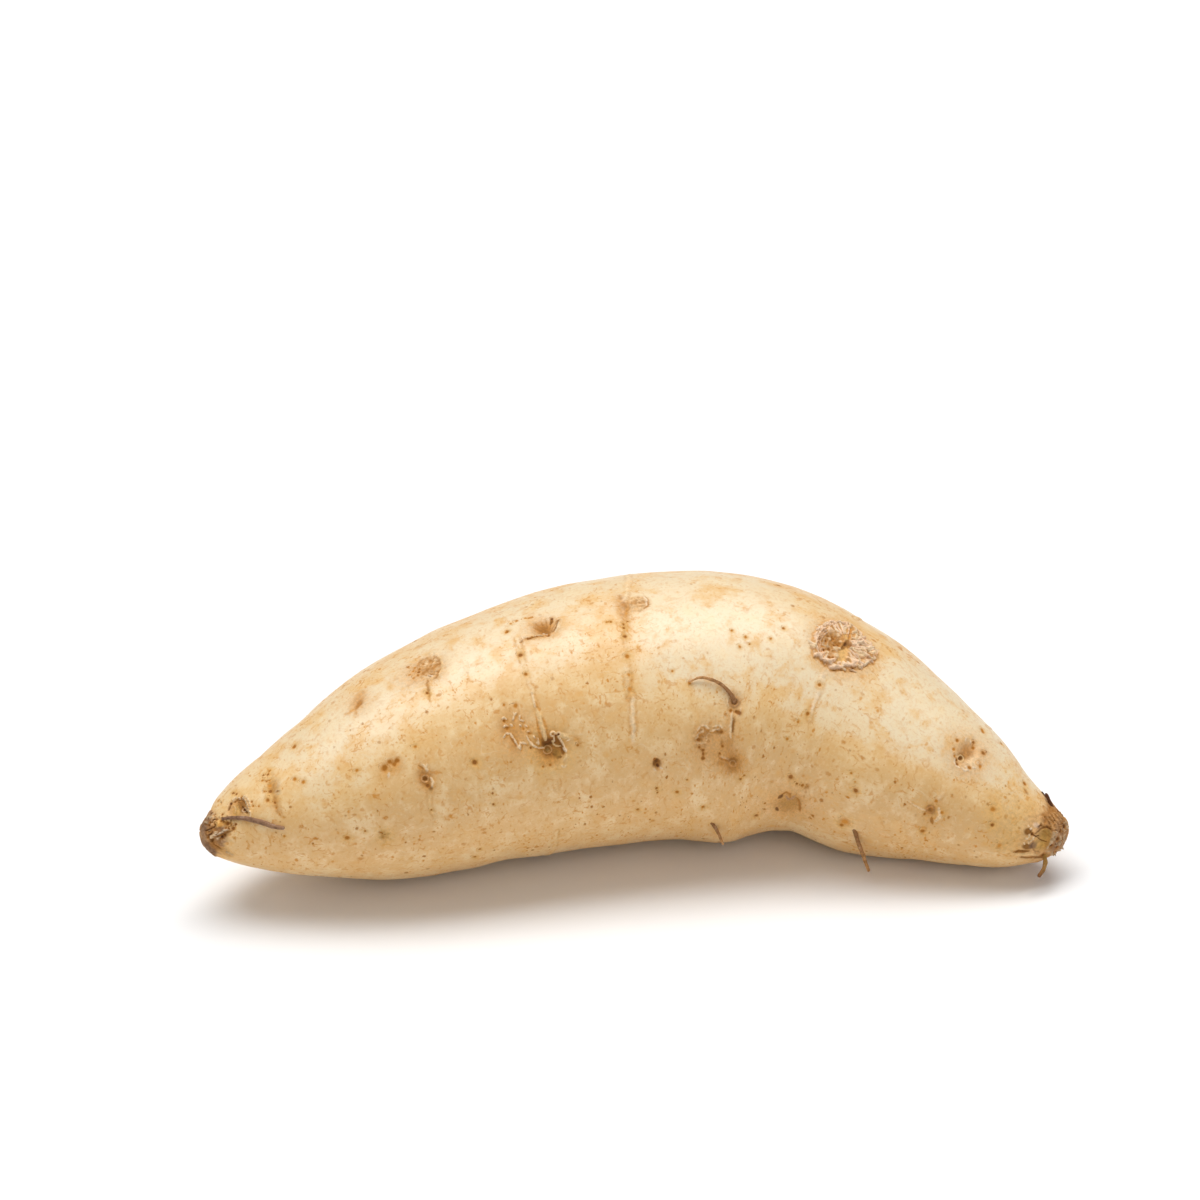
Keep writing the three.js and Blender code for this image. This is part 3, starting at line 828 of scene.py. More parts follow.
class Place:
    """A part of the skin seen flat: x runs along the root and y round it, from a middle point."""

    def __init__(self, skin, station, angle, reach, bend, seed):
        self.skin = skin
        middle = skin_point(station, angle)
        along = unit(skin_point(station + 0.5, angle) - skin_point(station - 0.5, angle))
        around = skin_point(station, angle + 1) - skin_point(station, angle - 1)
        around = unit(around - along * (around @ along))
        offset = skin.points - middle
        self.near = np.flatnonzero((offset**2).sum(1) < reach * reach)
        offset = offset[self.near]
        self.points = skin.points[self.near]
        jitter = bend * (
            0.22 * wobble(self.points, 1.8, seed + 7) + 0.09 * wobble(self.points, 0.6, seed + 8)
        )
        self.x = offset @ along + jitter[:, 0]
        self.y = offset @ around + jitter[:, 1]
        self.seed = seed

    def from_point(self, x, y, rx, ry=None, turn=0.0):
        """How far out each point is, as a share of the radii of an ellipse there."""
        ry = rx if ry is None else ry
        c, s = math.cos(math.radians(turn)), math.sin(math.radians(turn))
        dx, dy = self.x - x, self.y - y
        return np.hypot((dx * c + dy * s) / rx, (dy * c - dx * s) / ry)

    def raise_(self, amount):
        self.skin.height[self.near] += amount

    def lay(self, colour, amount):
        self.skin.lay(self.near, colour, amount)

    def hollow(self, x, y, rx, ry, depth, turn=0.0, edge=1.0):
        self.raise_(-depth * wall(self.from_point(x, y, rx, ry, turn), edge))

    def stain(self, colour, x, y, rx, ry=None, amount=0.8, turn=0.0, edge=1.0):
        self.lay(colour, amount * wall(self.from_point(x, y, rx, ry, turn), edge))

    def dot(self, x, y, radius, colour="bark", depth=0.15, amount=0.9):
        self.hollow(x, y, 1.3 * radius, 1.3 * radius, depth, edge=1.4)
        self.stain("rust", x, y, 1.4 * radius, amount=0.4 * amount, edge=1.2)
        self.stain(colour, x, y, 0.9 * radius, amount=amount, edge=0.8)
        away = np.hypot(self.x - x, self.y - y)
        old = self.skin.spot[self.near]
        closer = (away < 1.4 * radius + 0.5) & (away / radius < np.hypot(old[:, 0], old[:, 1]))
        chosen = self.near[closer]
        self.skin.spot[chosen, 0] = (self.x[closer] - x) / radius
        self.skin.spot[chosen, 1] = (self.y[closer] - y) / radius
        self.skin.spot[chosen, 2] = SPOT_TONES[colour]

    def freckle(self, x, y, rx, ry, amount=1.0):
        """Marks where the skin is thick with fine dark specks."""
        inside = amount * wall(self.from_point(x, y, rx, ry), 1.2)
        self.skin.freckles[self.near] = np.maximum(self.skin.freckles[self.near], inside)

    def ring(self, x, y, radius, width, height, colour, amount=0.7):
        away = np.abs(np.hypot(self.x - x, self.y - y) - radius)
        self.raise_(height * falling(away / (1.6 * width)))
        self.lay(colour, amount * falling(away / (1.6 * width)))

    def stroke(self, path, width, height, colour, amount=0.9):
        """A line through flat points, thinner at its ends."""
        path = np.array(path, float)
        best = np.full(len(self.near), 1e9)
        total = len(path) - 1
        for k in range(total):
            a, b = path[k], path[k + 1]
            d = b - a
            t = np.clip(((self.x - a[0]) * d[0] + (self.y - a[1]) * d[1]) / max(d @ d, 1e-9), 0, 1)
            away = np.hypot(self.x - a[0] - t * d[0], self.y - a[1] - t * d[1])
            run = (k + t) / total
            thick = width * (0.55 + 0.45 * np.sqrt(np.maximum(4 * run * (1 - run), 0)))
            best = np.minimum(best, away / thick)
        self.raise_(height * falling(best / 1.5))
        self.lay(colour, amount * wall(best / 1.15, 0.7))

    def frayed(self, path, width, height, colour, amount):
        """A torn edge: short crumpled strokes that wander off the path."""
        chance = np.random.default_rng(self.seed)
        path = np.array(path, float)
        for a, b in zip(path[:-1], path[1:]):
            for _ in range(2):
                start = a + chance.uniform(-0.1, 0.4) * (b - a) + chance.normal(0, 0.1, 2)
                end = a + chance.uniform(0.6, 1.1) * (b - a) + chance.normal(0, 0.14, 2)
                bend = (start + end) / 2 + chance.normal(0, 0.14, 2)
                thick, tall = chance.uniform(0.7, 1.1), chance.uniform(0.5, 1.2)
                self.stroke([start, bend, end], width * thick, height * tall, colour, amount)

    # The same marks in rows, laid in order.

    def stains(self, *rows):
        """Rows of colour, x, y, two radii, amount, edge and, where it is turned, turn."""
        for colour, x, y, rx, ry, amount, edge, *turn in rows:
            self.stain(colour, x, y, rx, ry, amount, *turn, edge=edge)

    def hollows(self, *rows):
        """Rows of x, y, two radii, depth, edge and, where it is turned, turn."""
        for x, y, rx, ry, depth, edge, *turn in rows:
            self.hollow(x, y, rx, ry, depth, *turn, edge=edge)

    def dots(self, colour, depth, amount, *rows):
        """Rows of x, y, radius and, where it isn't the shared one, colour."""
        for x, y, radius, *own in rows:
            self.dot(x, y, radius, *(own or [colour]), depth, amount)

    def strokes(self, *rows):
        """Rows of width, height, colour, amount and the points of the path."""
        for width, height, colour, amount, *path in rows:
            self.stroke(path, width, height, colour, amount)

    def frays(self, *rows):
        """Torn edges, in rows like those of strokes."""
        for width, height, colour, amount, *path in rows:
            self.frayed(path, width, height, colour, amount)

    def crumple(self, x, y, rx, ry, height):
        """Small papery wrinkles."""
        inside = wall(self.from_point(x, y, rx, ry), 0.8)
        ridges = 1 - 2 * np.abs(noise(self.points, WRINKLE_SIZE, self.seed + 31))
        self.raise_(height * inside * ridges)
        return inside, ridges

    def weather(self, x, y, rx, ry, amount, seed):
        """Worn, scurfy skin: brown, with pale threads of torn skin over it."""
        inside, ridges = self.crumple(x, y, rx, ry, 0.14)
        fine = 1 - 2 * np.abs(noise(self.points, WRINKLE_SIZE / 2, self.seed + 50 + seed))
        self.lay("tan", 0.9 * amount * inside)
        self.lay("brown", 0.75 * amount * inside * falling((ridges + 0.3) / 0.9))
        self.lay("bark", 0.4 * amount * inside * falling((fine + 0.3) / 0.5))
        self.lay("cream", 0.75 * amount * inside * falling((1.0 - ridges) / 0.3))


def ring_eye(skin, station, angle, radius, seed, halo="tan"):
    """The round scar of a lost rootlet: a low ring in a hollow, with a dark middle."""
    eye = skin.place(station, angle, 4.5 * radius, 0.6, seed)
    eye.stains(
        (halo, 0, 0, 2.6 * radius, 2.6 * radius, 0.45, 1.4),
        ("brown", 0, 0, 1.35 * radius, 1.35 * radius, 0.7, 0.6),
    )
    eye.hollow(0, 0, 1.7 * radius, 1.7 * radius, 0.4 * radius, edge=1.2)
    eye.ring(0, 0, 0.95 * radius, 0.22 * radius, 0.25 * radius, "ash")
    eye.stain("bark", 0, 0, 0.5 * radius, amount=0.85, edge=0.8)
    eye.hollow(0, 0, 0.5 * radius, 0.5 * radius, 0.25 * radius, edge=1.0)
    eye.ring(0, 0, 0.2 * radius, 0.12 * radius, 0.1 * radius, "ash", 0.4)
    return eye


def open_pit(skin, station, angle, radius, seed):
    pit = skin.place(station, angle, 4 * radius, 1.2, seed)
    pit.stains(
        ("tan", 0, 0, 2.2 * radius, 2.4 * radius, 0.5, 1.5),
        ("bark", 0, 0, 0.95 * radius, 1.25 * radius, 0.9, 0.7),
        ("pit", 0, -0.2 * radius, 0.5 * radius, 0.7 * radius, 0.7, 0.9),
    )
    pit.hollow(0, 0, radius, 1.25 * radius, 0.7 * radius, edge=0.8)
    pit.strokes(
        (0.2, 0.25, "pale", 0.9, (0.6 * radius, 1.1 * radius), (1.1 * radius, 1.3 * radius)),
        (0.16, 0.2, "pale", 0.7, (-0.8 * radius, 1.3 * radius), (-0.5 * radius, 1.7 * radius)),
    )
    return pit


def flaky_patch(skin, station, angle, radius, seed):
    patch = skin.place(station, angle, 1.6 * radius, 1.4, seed)
    patch.stain("tan", 0, 0, radius, 0.8 * radius, amount=0.55, edge=0.9)
    inside, ridges = patch.crumple(0, 0, radius, 0.8 * radius, 0.12)
    patch.lay("cream", 0.8 * inside * falling((0.8 - ridges) / 0.35))
    patch.lay("brown", 0.5 * inside * falling((ridges + 0.1) / 0.25))


# ---- the marks of the front view, each in its own place: x, y and sizes are in mm from its middle

# Rings of flaps of the papery scar: first and last angle, how many, inner and outer share of the
# way out, and greatest half-width.
SCAR_FLAPS = (
    (-180, 180, 30, 0.90, 1.04, 0.28),
    (-150, -70, 9, 0.45, 1.00, 0.40),
    (-66, 34, 12, 0.52, 1.00, 0.48),
    (-56, 26, 9, 0.22, 0.74, 0.52),
    (36, 150, 11, 0.70, 1.02, 0.50),
    (150, 215, 7, 0.78, 1.02, 0.34),
)


def scar_outline(turn):
    """How far the papery scar reaches in each direction from its middle, in mm."""
    lobes = ((128, 30, 1.6), (-12, 18, 1.2), (-95, 15, 0.7), (-60, 12, -0.4), (45, 20, -0.6))
    outline = np.full(len(turn), 7.2)
    for at, width, rise in lobes:
        away = (turn - at + 180) % 360 - 180
        outline = outline + rise * np.exp(-((away / width) ** 2))
    return outline


def papery_scar(skin):
    """A broad low scab: a brown hollow on one side, and thin papery flaps that fan out from a slit."""
    scar = skin.place(*PAPERY_SCAR, 13, 0.5, 3)
    x, y = scar.x, scar.y
    turn = np.degrees(np.arctan2(y + 1.0, x))
    reach = np.hypot(x, y + 1.0)
    frill = np.column_stack([np.cos(np.radians(turn)), np.sin(np.radians(turn)), 0 * turn])
    share = reach / (scar_outline(turn) * (1 + 0.05 * noise(frill * 7, 1.0, 41)))
    streaks = np.column_stack([0.35 * reach, 4.0 * frill[:, 0], 4.0 * frill[:, 1]])
    streaks = 1 - 2 * np.abs(noise(streaks, 0.55, 44))
    crumbs = 1 - 2 * np.abs(noise(scar.points, 0.8, 46))
    crust = wall(share, 0.12)
    hollow = wall(scar.from_point(-3.0, 1.0, 2.6, 3.6, 14), 0.7)
    valley = wall(scar.from_point(0.6, 2.4, 1.0, 3.5, -6), 0.8)
    layers = crust * (1 - hollow) * (1 - valley)
    scar.stain("tan", 0.0, -0.6, 9.4, 9.6, 0.6, edge=0.5)
    # painted shadow: rust in a ring just outside the scar's edge, strongest along its lower side
    scar.lay("rust", 0.75 * falling(np.abs(share - 1.03) / 0.09) * (0.35 + 0.65 * wall(-y / 3, 2)))
    scar.raise_(layers * (0.14 + 0.16 * share + 0.10 * streaks))
    scar.raise_(crust * (0.16 * crumbs * hollow - 0.55 * hollow - 0.25 * valley))
    scar.lay("tan", 0.92 * crust)
    # painted shade: rust and smoke in the valleys between the flaps' ridges
    scar.lay("rust", 0.6 * layers * falling((streaks + 0.1) / 0.7))
    scar.lay("smoke", 0.35 * layers * falling((streaks + 0.1) / 0.7))
    scar.lay("blush", 0.8 * layers * falling((1.0 - streaks) / 0.6))
    scar.lay("brown", 0.75 * hollow * crust)
    scar.lay("bark", 0.55 * hollow * falling((0.5 + crumbs) / 0.7))
    scar.lay("husk", 0.8 * hollow * falling((1.0 - crumbs) / 0.5))
    scar.lay("ochre", 0.85 * valley * crust)
    scar.stains(
        ("brown", -2.1, -0.6, 1.8, 1.5, 0.7, 1.2), ("rust", 0.0, -4.0, 1.6, 3.6, 0.5, 1.4),
    )

    chance = np.random.default_rng(21)
    for first, last, count, near_share, far_share, widest in SCAR_FLAPS:
        for k in range(count):
            at = first + (last - first) * (k + chance.uniform(0.1, 0.9)) / count
            edge = float(scar_outline(np.array([at]))[0])
            start = edge * (near_share + chance.uniform(-0.06, 0.06))
            stop = edge * (far_share + chance.uniform(-0.12, 0.05))
            swing = chance.uniform(-16, 16)
            wave = chance.uniform(-8, 8)
            path = []
            for t in (0.0, 0.25, 0.5, 0.75, 1.0):
                out = start + (stop - start) * t
                way = math.radians(at + swing * t * t + wave * math.sin(6 * t))
                path.append((out * math.cos(way), out * math.sin(way) - 1.0))
            width = widest * chance.uniform(0.6, 1.0)
            # painted shade: a sunken brown stroke just below each flap
            side = [(px + 0.2, py + 0.8 * width + 0.1) for px, py in path]
            scar.stroke(side, 0.8 * width, -0.16, "brown", 0.6)
            colour = ("blush", "pale", "blush", "cream")[int(chance.integers(0, 4))]
            scar.stroke(path, 0.8 * width, chance.uniform(0.14, 0.3), colour, 0.85)
    for radius in (3.9, 4.5, 5.1):
        turns = [math.radians(a) for a in range(104, 220, 16)]
        arc = [(-2.2 + radius * 0.84 * math.cos(t), 0.8 + radius * math.sin(t)) for t in turns]
        # painted shade: a sunken rust stroke beside each pale arc
        scar.stroke(shifted(arc, 0.3, -0.1), 0.2, -0.12, "rust", 0.7)
        scar.stroke(arc, 0.19, 0.22, "blush", 0.85)
    for path in (
        ((-3.0, 6.3), (-1.8, 5.6), (-0.8, 6.0)), ((-0.7, 6.9), (0.4, 6.2), (1.7, 5.2)),
        ((2.0, 4.4), (3.0, 3.9), (3.8, 3.4)), ((-5.2, 6.3), (-4.2, 5.4), (-3.2, 6.1)),
    ):
        # painted shadow: a sunken brown stroke below each pale roll of the lower frill
        scar.stroke(shifted(path, 0.3, 0.65), 0.4, -0.15, "brown", 0.7)
        scar.stroke(path, 0.42, 0.3, "blush", 0.9)
    scar.strokes(
        (0.3, -0.22, "rust", 0.85, (0.4, -2.8), (0.2, -4.6), (-0.3, -7.0)),
        (0.34, -0.22, "ochre", 0.85, (0.2, -2.4), (-0.4, -3.0), (-0.9, -3.8)),
        # painted shade in brown along the right side of the slit
        (0.4, -0.22, "brown", 0.85, (0.9, -2.2), (1.2, -1.4), (1.0, -0.5)),
        (0.5, -0.22, "bark", 0.85, (0.35, -2.5), (0.2, -1.5), (0.1, -0.6), (-0.1, 0.4)),
        (0.28, -0.22, "pit", 0.85, (0.2, -1.7), (0.1, -0.9)),
    )
    scar.dots("bark", 0.3, 0.9,
        (-2.7, 2.3, 0.42), (-1.8, 4.7, 0.42), (-1.2, 4.2, 0.28), (-2.9, -1.3, 0.34), (-1.3, -0.2, 0.36),
        (-4.2, 0.6, 0.25), (-1.9, 0.6, 0.25), (-3.6, 3.3, 0.25),
    )
    for px, py, size in ((-0.6, 3.3, 0.8), (-1.5, 1.4, 0.6), (-0.8, 0.9, 0.45), (-2.6, 3.6, 0.5),
                         (-1.2, -1.2, 0.42), (-2.3, -2.4, 0.45), (-3.7, -0.4, 0.45)):
        scar.hollow(px, py, size, size, -0.25, edge=1.0)
        scar.stain("cream", px, py - 0.15, 0.85 * size, amount=0.7, edge=0.9)


def deep_eye(skin):
    """A dark sunken eye with the ring of a lost rootlet in it and a torn pale rim on one side."""
    eye = skin.place(*DEEP_EYE, 17, 0.6, 11)
    eye.stains(
        ("tan", -5.8, -5.6, 4.6, 5.4, 0.6, 1.3), ("rust", -6.6, -5.6, 2.8, 4.4, 0.5, 1.5),
        ("brown", -8.2, -7.2, 1.3, 1.7, 0.4, 1.6), ("brown", -7.2, -4.0, 0.9, 2.0, 0.4, 1.6, 15),
        ("brown", 0.6, -1.6, 4.4, 3.4, 0.4, 1.7), ("ochre", 0.6, 0.2, 5.4, 5.4, 0.65, 1.3),
        ("rust", 0.7, -0.4, 3.7, 3.5, 0.6, 1.1), ("brown", 0.9, 0.1, 2.5, 2.4, 0.8, 0.8),
        # painted shadow: the brown, bark and pit stains of these two lines darken the top of the hollow
        # under its rim
        ("brown", 0.2, -2.6, 2.8, 1.4, 0.7, 1.3), ("bark", 0.7, -1.9, 2.4, 1.1, 0.95, 1.0),
        ("pit", 0.9, -1.8, 1.7, 0.7, 0.85, 1.0), ("bark", 2.9, -1.4, 0.7, 1.4, 0.9, 0.9, -20),
    )
    eye.hollows(
        (-5.0, -5.5, 3.8, 4.2, 0.45, 1.5), (0.9, 0.2, 3.8, 3.6, 0.75, 1.5),
        (0.9, -0.2, 2.5, 2.2, 0.9, 0.9),
    )
    eye.strokes(
        (0.36, -0.2, "bark", 0.9, (3.2, -0.6), (3.4, 0.6), (3.2, 1.8)),
        (0.3, -0.2, "bark", 0.8, (1.0, 1.5), (1.8, 2.4), (2.6, 2.4)),
    )
    eye.hollow(0, 0, 1.0, 1.0, -0.3, edge=0.7)
    eye.ring(0, 0, 1.0, 0.16, 0.22, "tan", 0.85)
    eye.stains(
        ("bark", -0.1, -0.2, 0.85, 0.75, 0.85, 0.7), ("olive", 0.05, 0.15, 0.6, 0.55, 0.85, 1.0),
    )
    eye.hollow(0, 0, 0.6, 0.6, 0.3, edge=0.8)
    eye.ring(0.1, 0.2, 0.25, 0.1, 0.05, "tan", 0.5)
    eye.hollow(1.9, 1.4, 1.0, 1.2, -0.35, edge=0.8)
    eye.stain("olive", 1.9, 1.4, 0.9, 1.1, 0.7, edge=0.9)
    eye.strokes(
        (0.17, 0.3, "straw", 0.9, (1.6, -1.9), (1.7, -0.8), (2.3, -0.2), (3.2, 0.0)),
        (0.22, 0.5, "cream", 0.9, (2.9, -2.7), (3.3, -1.9), (3.7, -0.7), (3.9, 0.4)),
        (0.32, 0.4, "pale", 0.9, (3.8, 0.5), (4.0, 1.4)),
        (0.55, 0.25, "straw", 0.9, (3.4, -3.0), (4.2, -2.4), (5.0, -1.8)),
        (0.16, 0.2, "cream", 0.9, (5.6, -1.6), (5.2, -1.1), (4.6, -1.0)),
        (0.15, 0.35, "cream", 0.9, (2.0, -3.0), (2.0, -2.2), (1.9, -1.4)),
        (0.26, 0.3, "straw", 0.9, (3.9, 1.9), (3.6, 2.7), (2.9, 3.3)),
        (0.2, 0.25, "cream", 0.9, (2.1, 4.4), (2.7, 4.9), (3.4, 4.6)),
    )
    eye.ring(1.9, -3.5, 0.5, 0.22, 0.4, "cream", 0.95)
    eye.ring(3.1, -3.2, 0.38, 0.2, 0.35, "cream", 0.9)
    eye.dot(2.4, -3.0, 0.3, "pit", 0.3)
    eye.dot(3.1, -3.1, 0.2, "pit", 0.3)
    eye.stain("rust", -0.4, 3.0, 2.4, 1.0, 0.45, turn=10, edge=1.2)
    # the raised straw ridge that runs into it, with painted shade in rust along both its sides, and the
    # beads of the same line above
    eye.strokes(
        (0.3, -0.12, "rust", 0.8, (-0.8, -8.3), (-1.0, -5.6), (-0.9, -3.1)),
        (0.3, -0.12, "rust", 0.7, (0.5, -7.6), (0.5, -5.0), (0.6, -3.4)),
        (0.5, 0.3, "straw", 0.9, (-0.3, -9.2), (-0.2, -8.0), (-0.2, -6.0), (-0.1, -4.2), (0.1, -2.5)),
        (0.26, 0.2, "cream", 0.85, (-0.4, -13.6), (-0.6, -12.0), (-0.5, -10.4)),
        (0.24, -0.1, "rust", 0.85, (-0.2, -11.4), (-0.1, -10.2), (0.2, -9.2)),
    )

    # the torn flakes above it, each with painted shade beside it
    eye.strokes(
        (0.3, -0.12, "rust", 0.7, (-0.9, -0.4), (-2.0, -1.0), (-3.3, -2.2), (-3.8, -3.6)),
        (0.34, -0.18, "brown", 0.9, (-7.8, -5.2), (-7.3, -3.9), (-6.8, -2.6)),
    )
    for path in (
        ((-0.9, -0.7), (-2.0, -1.0), (-3.2, -2.0), (-3.9, -3.3), (-4.1, -4.6)),
        ((-9.4, -5.5), (-8.6, -6.2), (-7.6, -5.8), (-7.1, -4.4), (-6.7, -3.0), (-6.3, -1.9)),
        ((-6.3, -1.9), (-6.0, -3.2), (-5.3, -3.3), (-4.6, -2.6)),
        ((-1.9, -3.4), (-1.8, -2.6), (-2.0, -2.0)), ((-8.6, -9.4), (-8.0, -9.7), (-7.7, -9.2)),
        ((-8.7, -7.8), (-8.2, -8.1), (-7.7, -7.5)), ((-6.3, -8.8), (-5.7, -9.6), (-5.2, -10.2)),
        ((-4.5, -9.4), (-4.7, -8.4), (-4.0, -7.9)), ((-3.9, -7.0), (-3.4, -6.5)),
        ((-3.6, -5.5), (-3.0, -5.0)), ((-5.2, -7.3), (-4.7, -6.8)), ((-7.0, -7.9), (-6.6, -7.2)),
        ((-2.5, -4.1), (-2.2, -3.4)),
    ):
        eye.stroke(shifted(path, 0.25, 0.35), 0.32, -0.06, "rust", 0.75)
        eye.stroke(path, 0.17, 0.12, "cream", 0.6)
        eye.frayed(path, 0.17, 0.14, "cream", 0.7)
    eye.dots("brown", 0.12, 0.85,
        (-7.9, -7.2, 0.42), (-3.3, -4.9, 0.38, "rust"), (-3.8, -1.6, 0.28, "bark"), (-2.0, 3.5, 0.25),
        (-0.2, 3.6, 0.26), (6.8, 0.6, 0.34), (-4.8, -11.6, 0.45, "rust"), (-8.2, -8.9, 0.3),
        (-7.4, -12.4, 0.4, "rust"), (-9.6, -14.5, 0.35), (-8.6, -14.6, 0.35, "rust"),
        (-4.4, -6.2, 0.3, "rust"),
    )
    eye.stain("rust", 6.9, -1.2, 0.5, 1.5, 0.6, turn=-15, edge=1.0)


def fan_dent(skin):
    dent = skin.place(*FAN_DENT, 10, 0.7, 23)
    dent.stains(
        ("tan", -0.6, -1.8, 5.0, 4.6, 0.55, 1.4), ("rust", -0.4, -2.0, 3.2, 3.0, 0.5, 1.2),
        ("brown", -0.7, -1.9, 1.8, 2.2, 0.85, 1.2, -25), ("bark", -0.6, -1.2, 0.9, 1.1, 0.85, 1.2),
        ("rust", 1.6, -2.6, 0.5, 1.8, 0.5, 1.2, 40),
    )
    dent.hollow(0.2, -2.0, 3.0, 2.8, 0.75, edge=1.5)
    for path in (
        ((-0.2, 0.5), (-1.6, -4.4)), ((-0.2, 0.5), (-0.2, -4.2)), ((-0.1, 0.5), (2.3, -4.4)),
        ((0.2, 0.4), (3.4, -3.4)), ((-0.3, 0.4), (-2.6, -3.0)), ((-0.2, 0.3), (1.0, -4.4)),
    ):
        dent.stroke(path, 0.18, -0.1, "brown", 0.62)
    dent.stroke([(2.4, -4.5), (2.0, -3.6), (1.5, -2.9)], 0.3, -0.2, "bark", 0.95)
    dent.dot(2.4, -4.4, 0.34, "pit", 0.2)
    dent.strokes(
        (0.2, -0.15, "bark", 0.8, (3.8, -3.6), (3.0, -2.2), (2.4, -1.0), (1.2, -0.2)),
        (0.2, 0.18, "cream", 0.8, (3.4, -2.6), (2.9, -1.0), (1.8, 0.1)),
        (0.16, 0.12, "cream", 0.6, (4.2, -3.2), (3.8, -1.8), (3.0, -0.7)),
    )
    dent.dot(-0.2, 0.6, 0.5, "bark", 0.3)
    dent.stains(
        ("pale", -0.9, -0.3, 0.3, 0.22, 0.8, 1.0), ("pale", -0.3, 0.0, 0.25, 0.2, 0.7, 1.0),
    )
    dent.strokes(
        (0.4, -0.05, "rust", 0.4, (-1.0, 1.0), (-2.4, 0.4), (-3.6, 0.7), (-5.4, 0.6), (-6.8, 1.0)),
        (0.22, -0.15, "bark", 0.85,
         (-1.2, 0.6), (-2.2, 0.0), (-3.2, 0.2), (-4.1, 0.4), (-5.6, 0.1), (-6.8, 0.6)),
        (0.14, 0.15, "cream", 0.7, (-1.4, 0.2), (-2.3, -0.3), (-3.2, -0.1)),
    )
    dent.dots("bark", 0.15, 0.9,
        (-4.4, 0.3, 0.3), (-4.9, 0.2, 0.32), (-5.7, 0.1, 0.28), (-8.5, -4.0, 0.34),
    )
    dent.dots("rust", 0.1, 0.9,
        (-9.0, -3.9, 0.4), (-5.4, -7.0, 0.4), (-2.6, -6.6, 0.28), (-1.6, -6.5, 0.25),
    )


def tan_scar(skin):
    scar = skin.place(*TAN_SCAR, 12, 0.9, 29)
    scar.stains(
        ("tan", -3.0, 0.2, 6.4, 4.8, 0.6, 1.5), ("rust", -1.2, 0.2, 4.0, 4.2, 0.4, 1.3),
    )
    scar.hollow(-0.3, 0.0, 3.0, 3.6, 0.5, edge=1.4)
    scar.weather(-0.4, 0.2, 3.0, 3.7, 1.0, seed=1)
    scar.stain("brown", -0.9, 0.9, 1.7, 1.9, 0.55, edge=1.2)
    for path in (
        ((2.2, -2.2), (2.5, -0.4), (1.8, 1.6)), ((1.6, 2.2), (0.6, 3.4), (-0.6, 4.0)),
        ((-2.3, -2.6), (-1.0, -3.7), (0.8, -3.6)), ((0.4, -3.4), (0.9, -1.8)),
        ((-1.4, -3.2), (-0.6, -1.6)), ((2.2, -2.9), (1.2, -1.6)),
    ):
        scar.stroke(path, 0.22, -0.12, "brown", 0.55)
    scar.strokes(
        (0.18, 0.16, "straw", 0.7, (2.9, -1.4), (2.8, 0.6), (2.1, 2.4), (0.5, 4.0)),
        (0.2, 0.16, "cream", 0.7, (1.2, -4.4), (2.2, -3.8), (3.0, -2.6)),
        (0.26, 0.16, "cream", 0.8, (-2.6, 2.0), (-2.2, 2.7), (-1.2, 3.2)),
        (0.3, 0.2, "pale", 0.8, (-1.4, 2.4), (-0.9, 3.3)),
        (0.16, -0.15, "bark", 0.85, (-1.8, 2.3), (-1.3, 3.1)),
        (0.16, -0.15, "bark", 0.8, (-0.9, 2.3), (-0.3, 3.0)),
    )
    scar.dots("rust", 0.1, 0.85,
        (-4.3, -3.6, 0.35, "brown"), (-3.3, -2.0, 0.34), (-3.0, 0.0, 0.42, "bark"),
        (-2.4, -0.9, 0.3, "brown"), (-4.0, -1.0, 0.3), (-3.6, 1.0, 0.28, "brown"), (-5.2, -0.4, 0.3),
        (-4.8, 1.2, 0.25),
    )
    scar.strokes(
        (0.16, -0.06, "rust", 0.8, (-6.4, -4.0), (-5.4, -3.2), (-4.4, -2.9), (-4.2, -2.4)),
        (0.3, -0.04, "rust", 0.4, (-7.6, 2.2), (-5.8, 2.4), (-4.4, 2.0)),
        (0.28, -0.08, "brown", 0.7, (-2.4, 3.6), (-3.0, 5.4), (-3.9, 8.4)),
        (0.26, -0.08, "rust", 0.6, (0.9, -12.0), (0.3, -9.4), (0.0, -7.0)),
    )


def rootlet_eye(skin):
    eye = ring_eye(skin, *ROOTLET_EYE, 1.1, 37)
    eye.dots("bark", 0.2, 0.9,
        (1.2, 2.4, 0.6), (0.5, 2.2, 0.35), (-0.7, 2.0, 0.4, "brown"),
    )
    eye.strokes(
        (0.2, 0.2, "cream", 0.7, (-1.5, -0.9), (-1.7, 0.2), (-1.3, 1.0)),
        (0.2, 0.2, "cream", 0.8, (1.6, 1.2), (1.5, 2.4), (1.0, 3.4)),
    )
    below = skin.place(ROOTLET_EYE[0], ROOTLET_EYE[1] + 9, 8, 0.8, 38)
    below.stain("rust", -0.6, 0.4, 1.2, 4.4, 0.45, edge=1.4)
    below.strokes(
        (0.24, 0.18, "cream", 0.85, (-0.4, -2.6), (-0.6, 0.4), (-0.4, 3.4)),
        (0.28, -0.2, "bark", 0.85, (0.1, -1.2), (0.0, 0.4), (0.1, 1.9)),
    )


